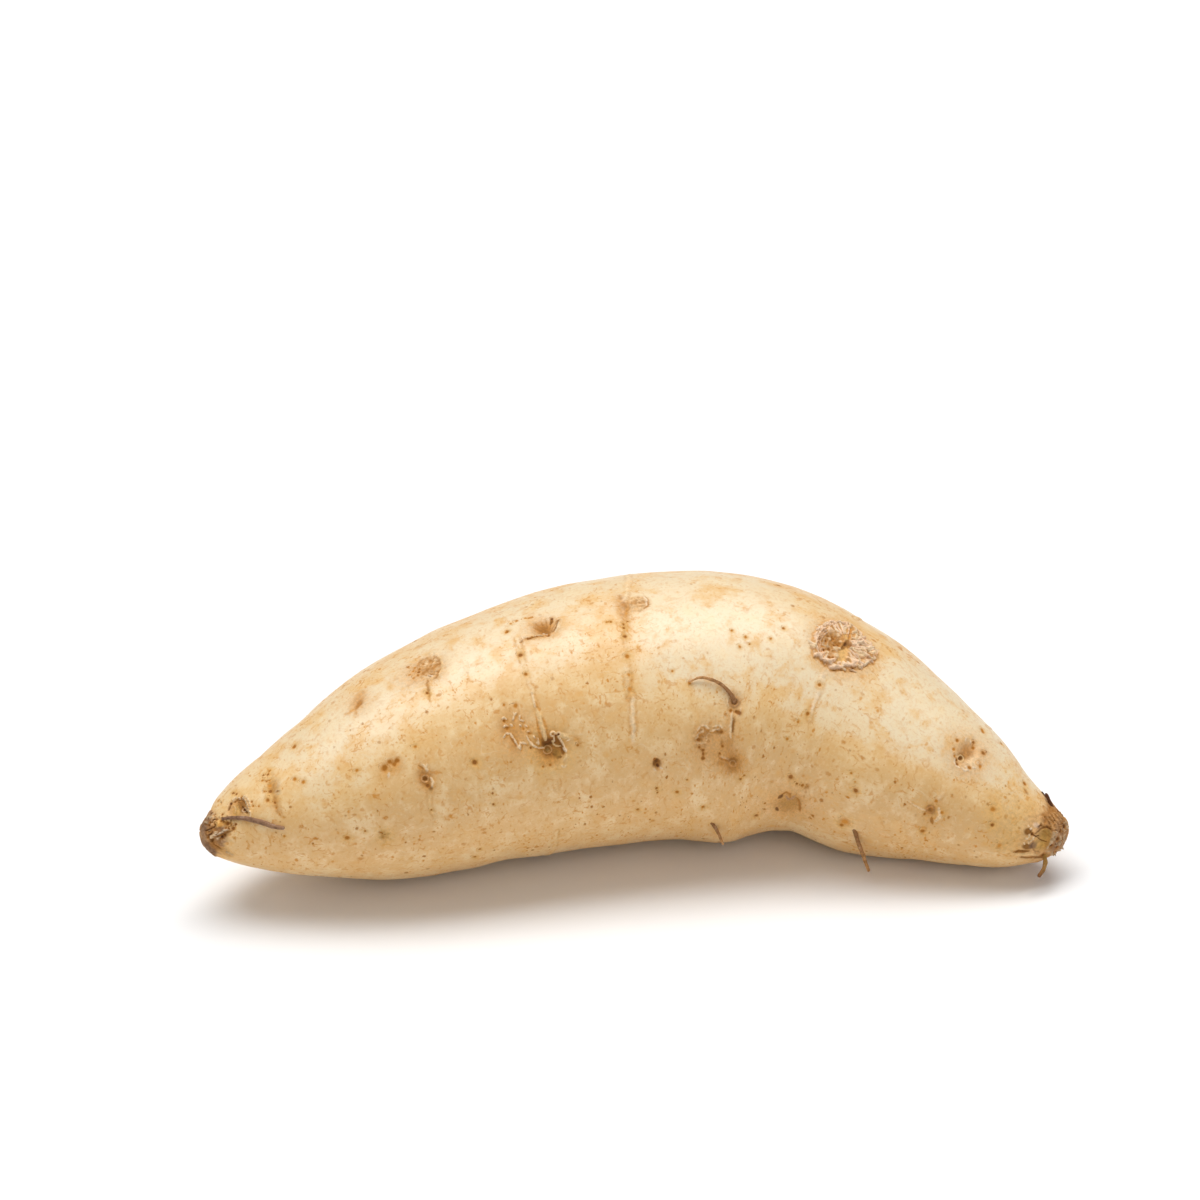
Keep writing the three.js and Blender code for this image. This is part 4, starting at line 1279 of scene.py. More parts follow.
def rough_patch(skin):
    """Worn skin with curled pale edges and dark specks, and a fold leading to an eye."""
    patch = skin.place(*ROUGH_PATCH, 10, 0.9, 41)
    patch.stains(
        ("tan", 0.4, 0.6, 6.0, 6.6, 0.55, 1.4), ("rust", 0.4, 0.0, 3.8, 4.4, 0.4, 1.0),
        ("brown", 4.4, 1.8, 1.3, 4.4, 0.4, 1.4, -5), ("brown", -2.4, -1.6, 1.6, 2.6, 0.4, 1.5),
    )
    patch.hollow(0.0, 0.0, 3.6, 4.4, 0.3, edge=1.3)
    patch.weather(-2.2, -2.0, 2.0, 2.6, 0.75, seed=2)
    for path in (
        ((-3.4, -3.2), (-2.6, -4.6), (-1.3, -4.2), (-0.8, -3.4)),
        ((-3.6, -1.2), (-3.0, -2.6), (-1.8, -3.0)), ((0.2, -4.0), (1.4, -4.4), (2.4, -3.9)),
        ((-0.2, -3.0), (0.9, -3.5), (1.9, -3.4)), ((1.9, 3.3), (3.1, 3.5), (4.4, 4.4)),
    ):
        # painted shade: a sunken rust stroke beside each curled pale edge
        patch.stroke(shifted(path, 0.1, 0.4), 0.34, -0.06, "rust", 0.75)
        patch.stroke(path, 0.2, 0.1, "cream", 0.5)
        patch.frayed(path, 0.2, 0.12, "cream", 0.7)
    for px, py, wide, high, colour in ((-2.6, -1.9, 0.7, 1.1, "brown"), (1.9, -2.9, 0.9, 0.7, "bark"),
                                       (2.5, 0.2, 0.4, 1.3, "brown"), (2.3, 4.9, 1.0, 0.7, "brown")):
        patch.stain(colour, px, py, wide, high, 0.7, edge=1.2)
    patch.dots("bark", 0.15, 0.9,
        (-3.0, -1.0, 0.45), (-2.8, 0.9, 0.34), (-1.8, 1.6, 0.45), (-1.8, 3.7, 0.46), (2.6, 0.8, 0.34),
        (2.0, 2.7, 0.3), (2.4, -2.8, 0.4), (-1.6, 2.6, 0.34),
    )
    fold = skin.place(*FOLD_EYE, 8, 0.8, 43)
    fold.stains(
        ("rust", 0.2, 0.4, 3.2, 3.6, 0.55, 1.5), ("brown", 0.2, 0.3, 1.6, 2.2, 0.75, 1.4),
        ("bark", 0.1, -0.4, 0.9, 0.8, 0.85, 1.0),
    )
    fold.hollow(0.1, 0.4, 1.6, 3.0, 0.6, edge=1.6)
    fold.ring(0.1, 0.3, 0.7, 0.15, 0.08, "tan", 0.5)
    fold.stroke([(-3.6, -1.6), (-2.2, -0.8), (-1.0, -0.5)], 0.26, -0.1, "brown", 0.6)


def belly_pit(skin):
    pit = open_pit(skin, *BELLY_PIT, 1.0, 47)
    pit.dot(-0.5, -1.1, 0.4, "bark", 0.2)
    pit.dot(0.3, 0.9, 0.4, "pit", 0.2)


def notch(skin):
    """The inside of the waist: a brown crescent with dark slashes; its broad brown stains are partly the
    skin's own colour and partly painted shade in the crease.
    """
    fold = skin.place(*NOTCH, 10, 0.9, 53)
    fold.stains(
        ("tan", 0.3, 0.6, 6.4, 6.8, 0.6, 1.5), ("rust", 0.4, 1.0, 3.6, 4.4, 0.5, 1.3),
        ("olive", 0.5, 1.0, 2.4, 3.0, 0.5, 1.3),
    )
    fold.hollow(0.2, 1.4, 3.2, 3.6, 0.4, edge=1.5)
    fold.strokes(
        (0.4, -0.16, "pit", 0.85, (-2.3, -0.6), (-1.5, -1.8)),
        (0.24, -0.16, "brown", 0.85, (-1.5, -2.0), (-0.7, -2.9), (0.1, -2.6), (0.5, -1.2)),
        (0.3, -0.16, "ash", 0.85, (-0.6, -1.6), (0.2, -0.4), (1.2, -0.8), (1.4, -2.0)),
        (0.3, -0.16, "brown", 0.85, (2.0, -1.4), (3.0, 0.6), (3.6, 3.2)),
        (0.36, -0.16, "pit", 0.85, (-2.0, 3.2), (-1.4, 4.2)),
        (0.26, -0.16, "brown", 0.85, (3.0, -6.6), (3.6, -5.6), (3.2, -4.8)),
    )
    fold.dots("brown", 0.1, 0.9,
        (6.2, 2.6, 0.3), (6.8, 3.4, 0.3), (7.4, 2.4, 0.3), (6.4, 4.4, 0.3), (-5.0, 1.2, 0.3),
        (-4.6, 3.6, 0.3),
    )


def end_dent(skin):
    dent = skin.place(*END_DENT, 13, 0.8, 59)
    dent.stains(
        ("tan", 0.8, -1.8, 6.0, 6.4, 0.6, 1.3), ("rust", 1.4, -1.0, 3.6, 4.2, 0.35, 1.1),
        ("cream", 2.9, -0.6, 1.4, 2.0, 0.6, 1.1), ("brown", 0.5, -2.2, 1.3, 2.4, 0.75, 1.3, 12),
        ("bark", -0.2, -0.4, 0.9, 0.8, 0.7, 1.0),
    )
    dent.hollow(0.7, -2.4, 1.9, 3.4, 0.8, turn=12, edge=1.5)
    dent.ring(0, 0, 0.75, 0.18, 0.18, "straw", 0.9)
    dent.stain("bark", 0, -0.1, 0.5, 0.5, 0.9)
    dent.hollow(0, 0, 0.5, 0.5, 0.3, edge=0.8)
    dent.ring(3.9, -1.4, 0.6, 0.18, 0.05, "rust", 0.6)
    dent.dots("bark", 0.14, 0.9,
        (0.9, -5.6, 0.38), (1.4, -4.5, 0.4, "brown"), (-2.9, -3.1, 0.42, "brown"), (4.1, -4.4, 0.55),
        (4.6, -5.2, 0.34), (2.0, -10.0, 0.4, "rust"), (0.0, 1.9, 0.38), (2.8, 0.9, 0.42, "brown"),
        (-0.6, 1.0, 0.34), (-2.6, -0.6, 0.34, "rust"), (-1.6, 0.6, 0.3, "rust"),
        (4.9, -1.0, 0.34, "rust"),
    )
    for path in (
        ((-1.6, -5.2), (-1.2, -4.3)), ((0.0, -5.6), (0.3, -4.9)), ((1.8, 1.2), (2.4, 1.5)),
        ((-0.2, 2.5), (0.8, 2.3)), ((3.2, 0.4), (3.9, 0.0)), ((1.2, 2.0), (2.2, 2.2), (3.0, 1.6)),
        ((-1.2, 1.0), (-0.9, 1.9), (-0.1, 2.3)),
    ):
        dent.stroke(path, 0.2, 0.18, "pale", 0.85)


def cross_eye(skin):
    eye = ring_eye(skin, *CROSS_EYE, 0.95, 61, "ochre")
    wide = skin.place(*CROSS_EYE, 7, 0.8, 62)
    wide.hollow(0, 0.2, 2.4, 2.8, 0.3, edge=1.6)
    wide.stain("rust", 1.0, 0.6, 2.6, 3.0, 0.4, edge=1.4)
    wide.strokes(
        (0.4, 0.15, "cream", 0.8, (1.6, -1.2), (2.6, 0.6), (2.0, 2.2)),
        (0.36, -0.2, "brown", 0.9, (0.9, 1.9), (1.6, 3.0)),
        (0.24, 0.14, "cream", 0.7, (-4.2, -0.2), (-2.6, 0.4), (-1.2, 0.6)),
    )
    wide.dot(0.4, -2.6, 0.42, "rust", 0.1)
    eye.dot(-0.9, 1.5, 0.3, "brown", 0.1)


def flake_patch(skin):
    patch = skin.place(*FLAKE_PATCH, 6, 1.0, 67)
    patch.stain("cream", 0.3, 0.0, 2.8, 2.6, 0.45, edge=0.5)
    patch.weather(0.3, 0.0, 2.8, 2.6, 0.8, seed=3)
    patch.strokes(
        (0.18, -0.12, "brown", 0.8, (2.3, -2.4), (3.0, -0.8), (2.2, 1.2), (1.2, 2.2)),
        (0.2, 0.15, "pale", 0.8, (2.0, -2.4), (2.7, -0.8), (1.9, 1.0)),
    )
    crease = skin.place(*FLAKE_CREASE, 8, 0.8, 68)
    crease.stains(
        ("rust", -0.3, 0.3, 1.5, 5.0, 0.6, 1.4), ("brown", 0.4, -1.0, 0.6, 1.2, 0.7, 1.2),
        ("brown", 0.2, -4.0, 0.4, 0.9, 0.6, 1.2),
    )
    crease.hollow(-0.2, 0.4, 1.2, 3.4, 0.3, edge=1.5)


def stem_eyes(skin):
    eye = ring_eye(skin, *STEM_EYE, 1.0, 71)
    wide = skin.place(*STEM_EYE, 8, 0.8, 72)
    wide.stains(
        ("rust", 0.2, -0.2, 1.8, 4.2, 0.5, 1.3), ("brown", 0.0, -0.2, 1.2, 1.7, 0.6, 1.3),
    )
    eye.ring(0, 0, 0.8, 0.15, 0.15, "tan", 0.9)
    eye.stain("bark", 0, 0, 0.5, 0.5, 0.8, edge=0.9)
    wide.strokes(
        (0.24, 0.24, "cream", 0.85, (0.4, -3.8), (1.0, -2.6), (1.0, -1.4)),
        (0.16, 0.24, "cream", 0.85, (1.5, -3.4), (1.3, -2.4)),
        (0.22, 0.24, "cream", 0.85, (1.2, 0.2), (1.5, 1.4), (0.9, 2.4)),
    )
    wide.stroke([(-0.1, -3.2), (0.4, -2.2)], 0.22, -0.12, "brown", 0.85)
    wide.stain("bark", 0.6, 2.4, 0.5, 0.6, 0.8, edge=1.1)
    blots = skin.place(*TRIPLE_EYE, 7, 1.0, 73)
    blots.stain("rust", 0.1, 0.2, 3.2, 2.4, 0.5, edge=1.4)
    blots.dots("brown", 0.18, 0.85,
        (0.2, -0.8, 0.55), (1.0, 0.1, 0.55), (1.8, -0.4, 0.6), (-1.5, 0.0, 0.8),
    )
    blots.stroke([(-0.8, 1.6), (-1.4, 2.2)], 0.3, 0.15, "pale", 0.7)
    mark = skin.place(*OLIVE_MARK, 8, 0.8, 79)
    mark.stains(
        ("tan", 0.2, -0.8, 3.4, 4.0, 0.6, 1.5), ("rust", 0.8, -1.4, 1.6, 3.0, 0.55, 1.4, 40),
        ("brown", 0.0, 0.0, 1.5, 0.7, 0.85, 1.2, -40),
    )
    mark.hollow(0.0, 0.0, 1.6, 0.9, 0.25, turn=-40, edge=1.4)
    mark.strokes(
        (0.3, -0.06, "rust", 0.6, (-5.4, -0.3), (-3.2, 0.7), (-1.6, 0.4)),
        (0.3, -0.05, "rust", 0.6, (-1.2, 1.4), (-2.9, 3.7)),
    )


# ---- the scabbed tips

def cracked(points, size, seed):
    """Flat plates split by narrow cracks: 1 on a plate, falling to 0 in a crack."""
    return np.clip(np.abs(noise(points, size, seed)) * 4.5, 0, 1)


def bell(angle, middle, width):
    return np.exp(-(((angle - middle + 180) % 360 - 180) / width) ** 2)


def bark(skin, near, cover, seed):
    """Dead skin: brown plates, dark cracks and pale torn edges, laid by cover."""
    points = skin.points[near]
    broad = noise(points, 2.6, seed)
    plates = cracked(points, 1.7, seed + 1)
    small = cracked(points, 0.8, seed + 2)
    skin.height[near] += cover * (0.35 * plates + 0.14 * small - 0.15 + 0.2 * broad)
    skin.lay(near, "ash", 0.95 * cover)
    skin.lay(near, "tan", 0.75 * cover * falling((0.75 - broad) / 0.5))
    skin.lay(near, "smoke", 0.75 * cover * falling((0.62 + broad) / 0.35))
    skin.lay(near, "bark", 0.9 * cover * (1 - plates))
    skin.lay(near, "brown", 0.6 * cover * (1 - small))
    edge = falling(np.abs(plates - 0.75) / 0.2) * falling((0.5 - noise(points, 1.1, seed + 3)) / 0.3)
    skin.lay(near, "straw", 0.6 * cover * edge)


def stem_tip(skin):
    """The stem end: a brown cap broken off the vine, with a golden flap curled back beside it."""
    near = np.flatnonzero(skin.station < STEM_CAP)
    points = skin.points[near]
    station, angle = skin.station[near], skin.angle[near]
    edge = 2.4 + 2.5 * bell(angle, 118, 26) + 0.5 * bell(angle, 168, 26)
    past = station - edge + 0.7 * noise(points, 2.0, 81) + 0.5 * noise(points, 0.8, 82)
    skin.lay(near, "ochre", 0.5 * falling((past + 0.5) / 4))
    skin.lay(near, "tan", 0.5 * falling(past / 1.8))
    cover = np.clip(0.5 - past / 0.7, 0, 1)
    bark(skin, near, cover, 83)
    # painted shade: smoke darkens the scab on the lower side of the tip, round angle 170
    skin.lay(near, "smoke", 0.8 * cover * bell(angle, 170, 30))
    slope = skin.place(*STEM_SLOPE, 15, 0.0, 84)
    slope.hollow(0, 0, 10, 8, 0.9, edge=1.8)
    cap = skin.place(*STEM_FACE, 8.5, 0.6, 85)
    cap.stains(
        ("smoke", -2.4, -1.2, 1.7, 2.0, 0.8, 1.0), ("brown", 0.1, 0.9, 2.0, 1.2, 0.65, 0.9, 15),
        ("brown", -0.5, 3.6, 1.3, 1.5, 0.65, 1.0), ("brown", 0.7, 5.4, 1.6, 0.9, 0.5, 1.2, 50),
        ("ochre", 2.2, -0.5, 1.5, 0.9, 0.95, 0.6, 10), ("rust", 2.6, 0.0, 0.8, 0.5, 0.75, 0.8),
        ("tan", 0.8, -1.2, 1.3, 0.5, 0.6, 0.9, -20),
    )
    cap.hollow(2.3, -0.4, 1.3, 0.9, -0.3, edge=0.7)
    cap.dots("bark", 0.35, 0.9,
        (2.9, -0.9, 0.42), (4.2, 0.1, 0.5), (5.2, 1.4, 0.45), (1.0, -0.7, 0.3), (1.3, -1.8, 0.3),
        (6.1, 0.7, 0.3), (3.7, 1.0, 0.25), (-0.7, -1.6, 0.3), (0.6, -3.0, 0.3), (-1.9, 0.3, 0.3),
        (-1.4, 1.9, 0.3),
    )
    cap.strokes(
        (0.15, -0.35, "pit", 0.9, (-2.2, 0.0), (-0.6, 0.3), (0.8, 0.0), (1.5, -0.5)),
        (0.14, -0.25, "bark", 0.85, (-2.6, -1.6), (-1.2, -1.0), (0.1, -1.3), (0.8, -2.2)),
        (0.2, -0.25, "bark", 0.7, (-1.7, 1.2), (-0.9, 2.2), (-0.7, 3.4), (0.1, 4.8)),
        # partly a crack, partly painted shade: this sunken bark line runs just below the pale torn edge
        (0.34, -0.3, "bark", 0.85, (1.2, 2.4), (2.2, 2.6), (3.4, 1.9), (4.6, 1.8)),
    )
    cap.dot(2.0, 2.7, 0.45, "pit", 0.3)
    chance = np.random.default_rng(90)
    for k in range(24):
        px, py = chance.uniform(-2.4, 1.4), chance.uniform(-3.4, 3.8)
        turn, length = chance.uniform(-0.7, 0.7), chance.uniform(0.4, 1.0)
        colour, height = (("pit", -0.3), ("husk", 0.3), ("bark", -0.3))[k % 3]
        end = (px + length * math.cos(turn), py + length * math.sin(turn))
        cap.stroke([(px, py), end], 0.15, height, colour, 0.85)
    cap.frays(
        (0.1, 0.4, "pale", 0.85, (0.4, 2.0), (1.5, 1.9), (2.5, 1.8), (3.2, 1.4), (4.2, 1.4)),
        (0.14, 0.4, "cream", 0.9, (-0.4, 2.3), (0.4, 2.0)),
        (0.12, 0.3, "husk", 0.8, (4.3, 1.2), (5.2, 0.9), (5.9, 0.2)),
        (0.13, 0.3, "husk", 0.8, (2.6, -1.8), (3.6, -1.2), (3.9, -0.5), (4.6, -0.8)),
        (0.13, 0.3, "husk", 0.75, (-0.6, -2.4), (0.3, -3.2), (1.4, -2.4)),
        (0.16, 0.3, "husk", 0.7, (0.9, 5.6), (1.8, 6.3), (2.4, 7.2)),
    )
    cap.stain("cream", 7.9, -0.6, 1.8, 0.9, 0.75, turn=12, edge=0.9)

    flap = skin.place(*STEM_CURL, 8, 0.5, 87)
    flap.stains(
        ("ochre", -0.4, -0.7, 4.0, 3.6, 0.45, 1.2), ("tan", -0.4, -0.9, 2.9, 2.6, 0.65, 0.7),
        ("rust", -0.2, -0.9, 2.4, 2.2, 0.5, 0.7), ("gold", -0.8, -0.3, 1.2, 1.7, 0.7, 0.8, 30),
        ("ochre", -0.4, -0.5, 0.4, 1.4, 0.8, 0.8, 25), ("bark", 0.8, -1.0, 1.0, 1.8, 0.8, 0.9, -12),
    )
    flap.hollow(-0.4, -0.8, 2.3, 2.1, 0.4, edge=1.2)
    flap.strokes(
        (0.22, -0.25, "bark", 0.85, (-2.7, -1.6), (-2.1, -2.5), (-1.6, -3.0)),
        (0.26, -0.3, "brown", 0.75, (-0.9, -2.8), (0.3, -2.9), (1.1, -2.3), (1.7, -1.2)),
        (0.3, -0.5, "bark", 0.95, (0.8, -0.7), (1.0, 0.3), (1.4, 1.5)),
    )
    flap.ring(1.0, 0.3, 0.5, 0.17, 0.3, "husk", 0.95)
    flap.dot(1.0, 0.2, 0.34, "pit", 0.3)
    flap.frayed([(2.2, 1.2), (2.2, 2.2), (1.6, 2.9)], 0.18, 0.3, "cream", 0.9)
    flap.strokes(
        (0.24, -0.2, "bark", 0.8, (-2.4, 0.6), (-3.2, 1.6), (-3.6, 2.8)),
        (0.2, -0.15, "brown", 0.8, (-3.4, -0.4), (-4.0, 0.8), (-4.8, 1.4)),
    )
    flap.frays(
        (0.17, 0.35, "cream", 0.9, (-1.1, -3.2), (-0.4, -3.6), (0.5, -3.5), (1.3, -2.9)),
        (0.17, 0.5, "husk", 0.95, (1.3, -2.7), (1.9, -2.0), (2.2, -0.8), (2.3, 0.5), (1.9, 1.5)),
        (0.22, 0.3, "cream", 0.8, (1.8, -3.1), (2.6, -2.0), (2.9, -0.9), (2.9, 0.2)),
    )
    flap.strokes(
        (0.16, 0.15, "straw", 0.6, (-1.2, -2.2), (-0.9, -1.1), (-1.5, -0.2)),
        (0.14, -0.15, "brown", 0.7, (0.1, -2.4), (0.5, -1.2), (0.2, 0.2)),
    )
    flap.dots("bark", 0.2, 0.85,
        (-1.7, -3.0, 0.36, "pit"), (1.3, -2.9, 0.3), (0.3, -4.6, 0.34), (-3.9, -4.6, 0.3),
        (3.4, -0.5, 0.25, "brown"), (3.3, 0.6, 0.25, "rust"), (4.6, 1.3, 0.3, "rust"),
        (-4.4, -1.4, 0.35), (-4.9, -0.4, 0.25),
    )
    flap.stroke([(-2.6, -6.0), (-2.1, -7.0), (-1.5, -7.8)], 0.16, -0.08, "rust", 0.6)
    smudge = skin.place(*STEM_SMUDGE, 10, 1.0, 88)
    smudge.stains(
        ("ochre", -0.6, -1.5, 1.3, 6.0, 0.5, 1.6), ("brown", 0.1, -1.6, 1.2, 1.5, 0.5, 1.6),
        ("brown", -0.6, 2.0, 0.7, 3.6, 0.4, 1.5),
    )
    smudge.freckle(-0.6, 0.0, 1.8, 8.0, 0.9)
    smudge.ring(0.2, 0.3, 0.5, 0.16, 0.12, "husk", 0.8)
    smudge.stain("bark", 0.3, 0.1, 0.4, 0.3, 0.8, edge=0.8)
    smudge.dots("rust", 0.15, 0.85,
        (-0.9, -5.7, 0.3, "bark"), (-1.5, -3.9, 0.25, "brown"), (-0.9, -3.7, 0.22),
        (-1.2, 2.4, 0.25, "bark"), (-1.4, 3.6, 0.22, "brown"), (-2.9, -1.4, 0.25),
    )
    smudge.strokes(
        (0.14, -0.08, "rust", 0.6, (-1.0, -7.8), (-0.7, -6.4), (-1.0, -5.2)),
        (0.45, -0.03, "rust", 0.6, (-1.0, 1.1), (-1.2, 3.0), (-1.4, 4.6), (-0.9, 6.2)),
    )
    below = skin.place(*STEM_LOW_EYE, 5, 1.2, 89)
    below.stains(
        ("ochre", 0.2, 0.2, 2.2, 2.6, 0.6, 1.4), ("olive", 0.0, -0.2, 1.0, 1.1, 0.8, 1.2),
    )
    below.hollow(0.0, 0.0, 1.5, 1.6, 0.3, edge=1.5)
    below.stroke([(-0.6, 0.3), (0.4, 1.2), (0.9, 2.2)], 0.22, -0.1, "brown", 0.7)
    below.dot(-0.9, -0.9, 0.3, "brown", 0.1, 0.8)
    below.dot(0.3, -0.3, 0.35, "bark", 0.15, 0.8)


# Flecked skin beside the scab: station, angle, reach along and round in mm.
ROOT_SPATTER = (
    (202.4, 108, 1.2, 1.4),
    (206.3, 98, 1.6, 1.3),
    (204.2, 120, 2.4, 3.4),
    (203.0, 146, 3.4, 3.0),
    (199.4, 100, 2.6, 4.0),
)


def root_tip(skin):
    """The root end: a wrinkled brown scab, frilled at its end, round a smooth golden scar."""
    end = spine.station[-1]
    near = np.flatnonzero(skin.station > end - ROOT_CAP)
    points = skin.points[near]
    station, angle = skin.station[near], skin.angle[near]
    for middle, turn, wide, high in ROOT_SPATTER:
        spray = skin.place(middle, turn, 9, 1.0, 100)
        spray.stain("ochre", 0, 0, 1.5 * wide, 1.5 * high, 0.4, edge=1.4)
        spray.freckle(0, 0, 1.5 * wide, 1.5 * high)
    edge = 207.9 + 1.6 * bell(angle, 62, 32) + 1.6 * bell(angle, 190, 24)
    past = edge - station + 0.7 * noise(points, 2.0, 91) + 0.4 * noise(points, 0.8, 92)
    skin.lay(near, "tan", 0.45 * falling((past + 0.5) / 5))
    skin.lay(near, "tan", 0.6 * falling(past / 1.8))
    cover = np.clip(0.5 - past / 0.7, 0, 1)
    bark(skin, near, cover, 93)
    skin.lay(near, "rust", 0.4 * cover)

    upper = skin.place(*ROOT_UPPER, 7, 0.5, 96)
    upper.stain("brown", 0.2, 0.2, 4.2, 3.0, 0.6, turn=-15, edge=0.9)
    for k in range(9):
        x, y = -3.6 + 0.95 * k, 1.0 - 0.55 * k
        bow = 0.35 * math.sin(2.3 * k)
        line = [(x, y), (x + 1.3 + bow, y + 1.1), (x + 2.8, y + 2.6 + bow)]
        upper.stroke(line, 0.12, -0.28, "bark", 0.85)
        upper.stroke(shifted(line, 0.3, -0.32), 0.15, 0.16, "tan", 0.6)

    gold = skin.place(*ROOT_GOLD, 7, 0.4, 95)
    smooth = wall(gold.from_point(0.1, 0.5, 2.3, 2.9), 0.35)
    gold.skin.height[gold.near] *= 1 - smooth
    gold.raise_(0.3 * smooth)
    gold.lay("gold", smooth)
    gold.stains(
        ("ochre", -0.9, 1.4, 0.8, 1.5, 0.35, 1.0), ("olive", 0.7, -1.3, 1.6, 0.9, 0.7, 1.0, -10),
        ("brown", 1.6, 1.2, 0.6, 1.6, 0.5, 1.0),
    )
    gold.strokes(
        (0.12, -0.3, "bark", 0.9, (-2.0, -0.6), (-0.5, 0.2), (1.4, 0.8)),
        (0.1, -0.12, "brown", 0.7, (-0.4, -1.9), (0.9, -1.2), (2.0, -0.4)),
        (0.24, -0.35, "bark", 0.9, (-2.0, -1.2), (-0.7, -2.4), (0.9, -2.7), (2.4, -2.0)),
        (0.18, -0.2, "bark", 0.75, (-2.3, 0.4), (-2.2, 2.0), (-1.2, 3.2), (0.6, 3.4)),
        (0.18, 0.35, "husk", 0.9, (2.6, -1.6), (2.5, 0.2), (2.1, 2.4)),
    )
    side = skin.place(*ROOT_SIDE, 9, 0.7, 97)
    side.stains(
        ("tan", 0.0, 0.8, 2.4, 4.6, 0.6, 0.9), ("bark", -0.8, 0.1, 1.0, 0.8, 0.95, 0.6, -20),
        ("bark", 0.5, 0.5, 0.6, 0.35, 0.9, 0.8, 20), ("bark", 0.5, 3.7, 1.5, 0.7, 0.92, 0.7),
        ("smoke", 1.6, 3.2, 0.9, 0.9, 0.8, 0.9), ("bark", 2.4, -1.9, 0.45, 0.4, 0.9, 0.8),
    )
    side.strokes(
        (0.2, -0.2, "pit", 0.85, (1.5, -1.0), (2.2, -1.8)),
        (0.16, -0.2, "pit", 0.9, (0.6, 0.6), (1.5, 0.9), (2.2, 0.6)),
    )
    side.hollow(-0.3, -0.6, 0.3, 0.3, -0.3, edge=0.9)
    side.stain("pale", -0.3, -0.6, 0.3, 0.28, 0.9)
    side.dot(0.5, 0.5, 0.3, "pit", 0.25)
    side.freckle(-1.6, 0.8, 2.4, 3.6)
    for path in (
        ((-1.2, 2.0), (-0.4, 1.8), (0.2, 1.2)), ((-1.2, 2.8), (-0.6, 3.2)), ((-0.2, 2.2), (0.3, 2.9)),
        ((-1.4, -0.9), (-0.8, -1.2)), ((0.9, 0.9), (1.0, 1.8), (0.6, 2.6)), ((-0.6, 1.3), (0.0, 0.9)),
    ):
        side.frayed(path, 0.14, 0.3, "cream", 0.85)
    side.stain("blush", 1.0, -1.7, 0.8, 0.6, 0.8, edge=1.0)

    frill = skin.place(*ROOT_FRILL, 7, 0.6, 98)
    frill.stains(
        ("ash", 1.0, 1.0, 3.2, 4.2, 0.8, 0.8), ("brown", 1.6, -1.4, 1.8, 1.4, 0.6, 1.0),
        ("smoke", -0.6, 2.4, 1.5, 1.7, 0.55, 1.0),
    )
    frill.dots("pit", 0.5, 0.9,
        (2.3, -1.6, 0.6), (0.5, -0.9, 0.4), (-0.7, 0.9, 0.5), (2.9, 2.6, 0.5), (-0.1, 3.3, 0.5),
        (-2.1, 2.3, 0.4), (-0.1, 4.7, 0.5), (2.0, 4.3, 0.45), (3.6, 0.8, 0.4), (1.4, 1.3, 0.5),
        (1.2, -2.4, 0.3),
    )
    for path in (
        ((-1.3, -0.4), (-2.5, 0.9), (-2.9, 1.7)), ((-2.1, -0.6), (-1.0, -1.3)),
        ((-2.3, 2.9), (-2.5, 4.1)), ((1.3, -2.3), (2.9, -2.4), (3.4, -1.3), (2.9, -0.8)),
        ((1.2, -1.8), (1.3, -0.8), (2.2, -0.5)), ((0.1, 0.1), (0.4, 1.4), (-0.2, 2.5)),
        ((2.0, 0.2), (2.3, 1.4), (1.8, 2.7)), ((0.6, 3.8), (1.4, 3.2), (2.4, 3.6)),
        ((-1.3, 3.5), (-0.9, 4.8)), ((-1.3, 1.4), (-1.0, 2.4)), ((0.9, 4.6), (1.2, 5.6)),
    ):
        frill.frayed(path, 0.18, 0.5, "husk", 0.85)

    fold = skin.place(*ROOT_FOLD, 8, 0.8, 99)
    fold.stains(
        ("tan", 0.6, 0.0, 4.5, 1.8, 0.55, 1.0), ("brown", 2.6, 0.9, 2.6, 0.8, 0.7, 0.9, 8),
        ("brown", -2.6, -1.6, 1.8, 0.45, 0.85, 0.8, 8),
    )
    fold.strokes(
        (0.36, -0.2, "bark", 0.85, (-1.8, 0.5), (0.8, 1.3), (3.4, 2.0), (4.0, 0.7)),
        (0.3, -0.2, "bark", 0.85, (-4.0, -1.5), (-3.0, -1.9), (-1.4, -1.7), (-0.2, -1.5)),
        (0.4, 0.2, "straw", 0.6, (-3.6, -0.9), (-1.7, -0.6), (0.5, -0.3), (2.2, 0.4)),
    )
    fold.freckle(-4.0, -0.8, 4.5, 2.0)
    late = skin.place(*ROOT_LAST_EYE, 5, 0.8, 101)
    late.stains(
        ("ochre", 0.0, 0.0, 1.6, 1.4, 0.5, 1.4), ("brown", 0.2, 0.0, 0.8, 0.5, 0.85, 1.1, 30),
    )
    late.hollow(0.2, 0.0, 0.9, 0.6, 0.2, turn=30, edge=1.2)


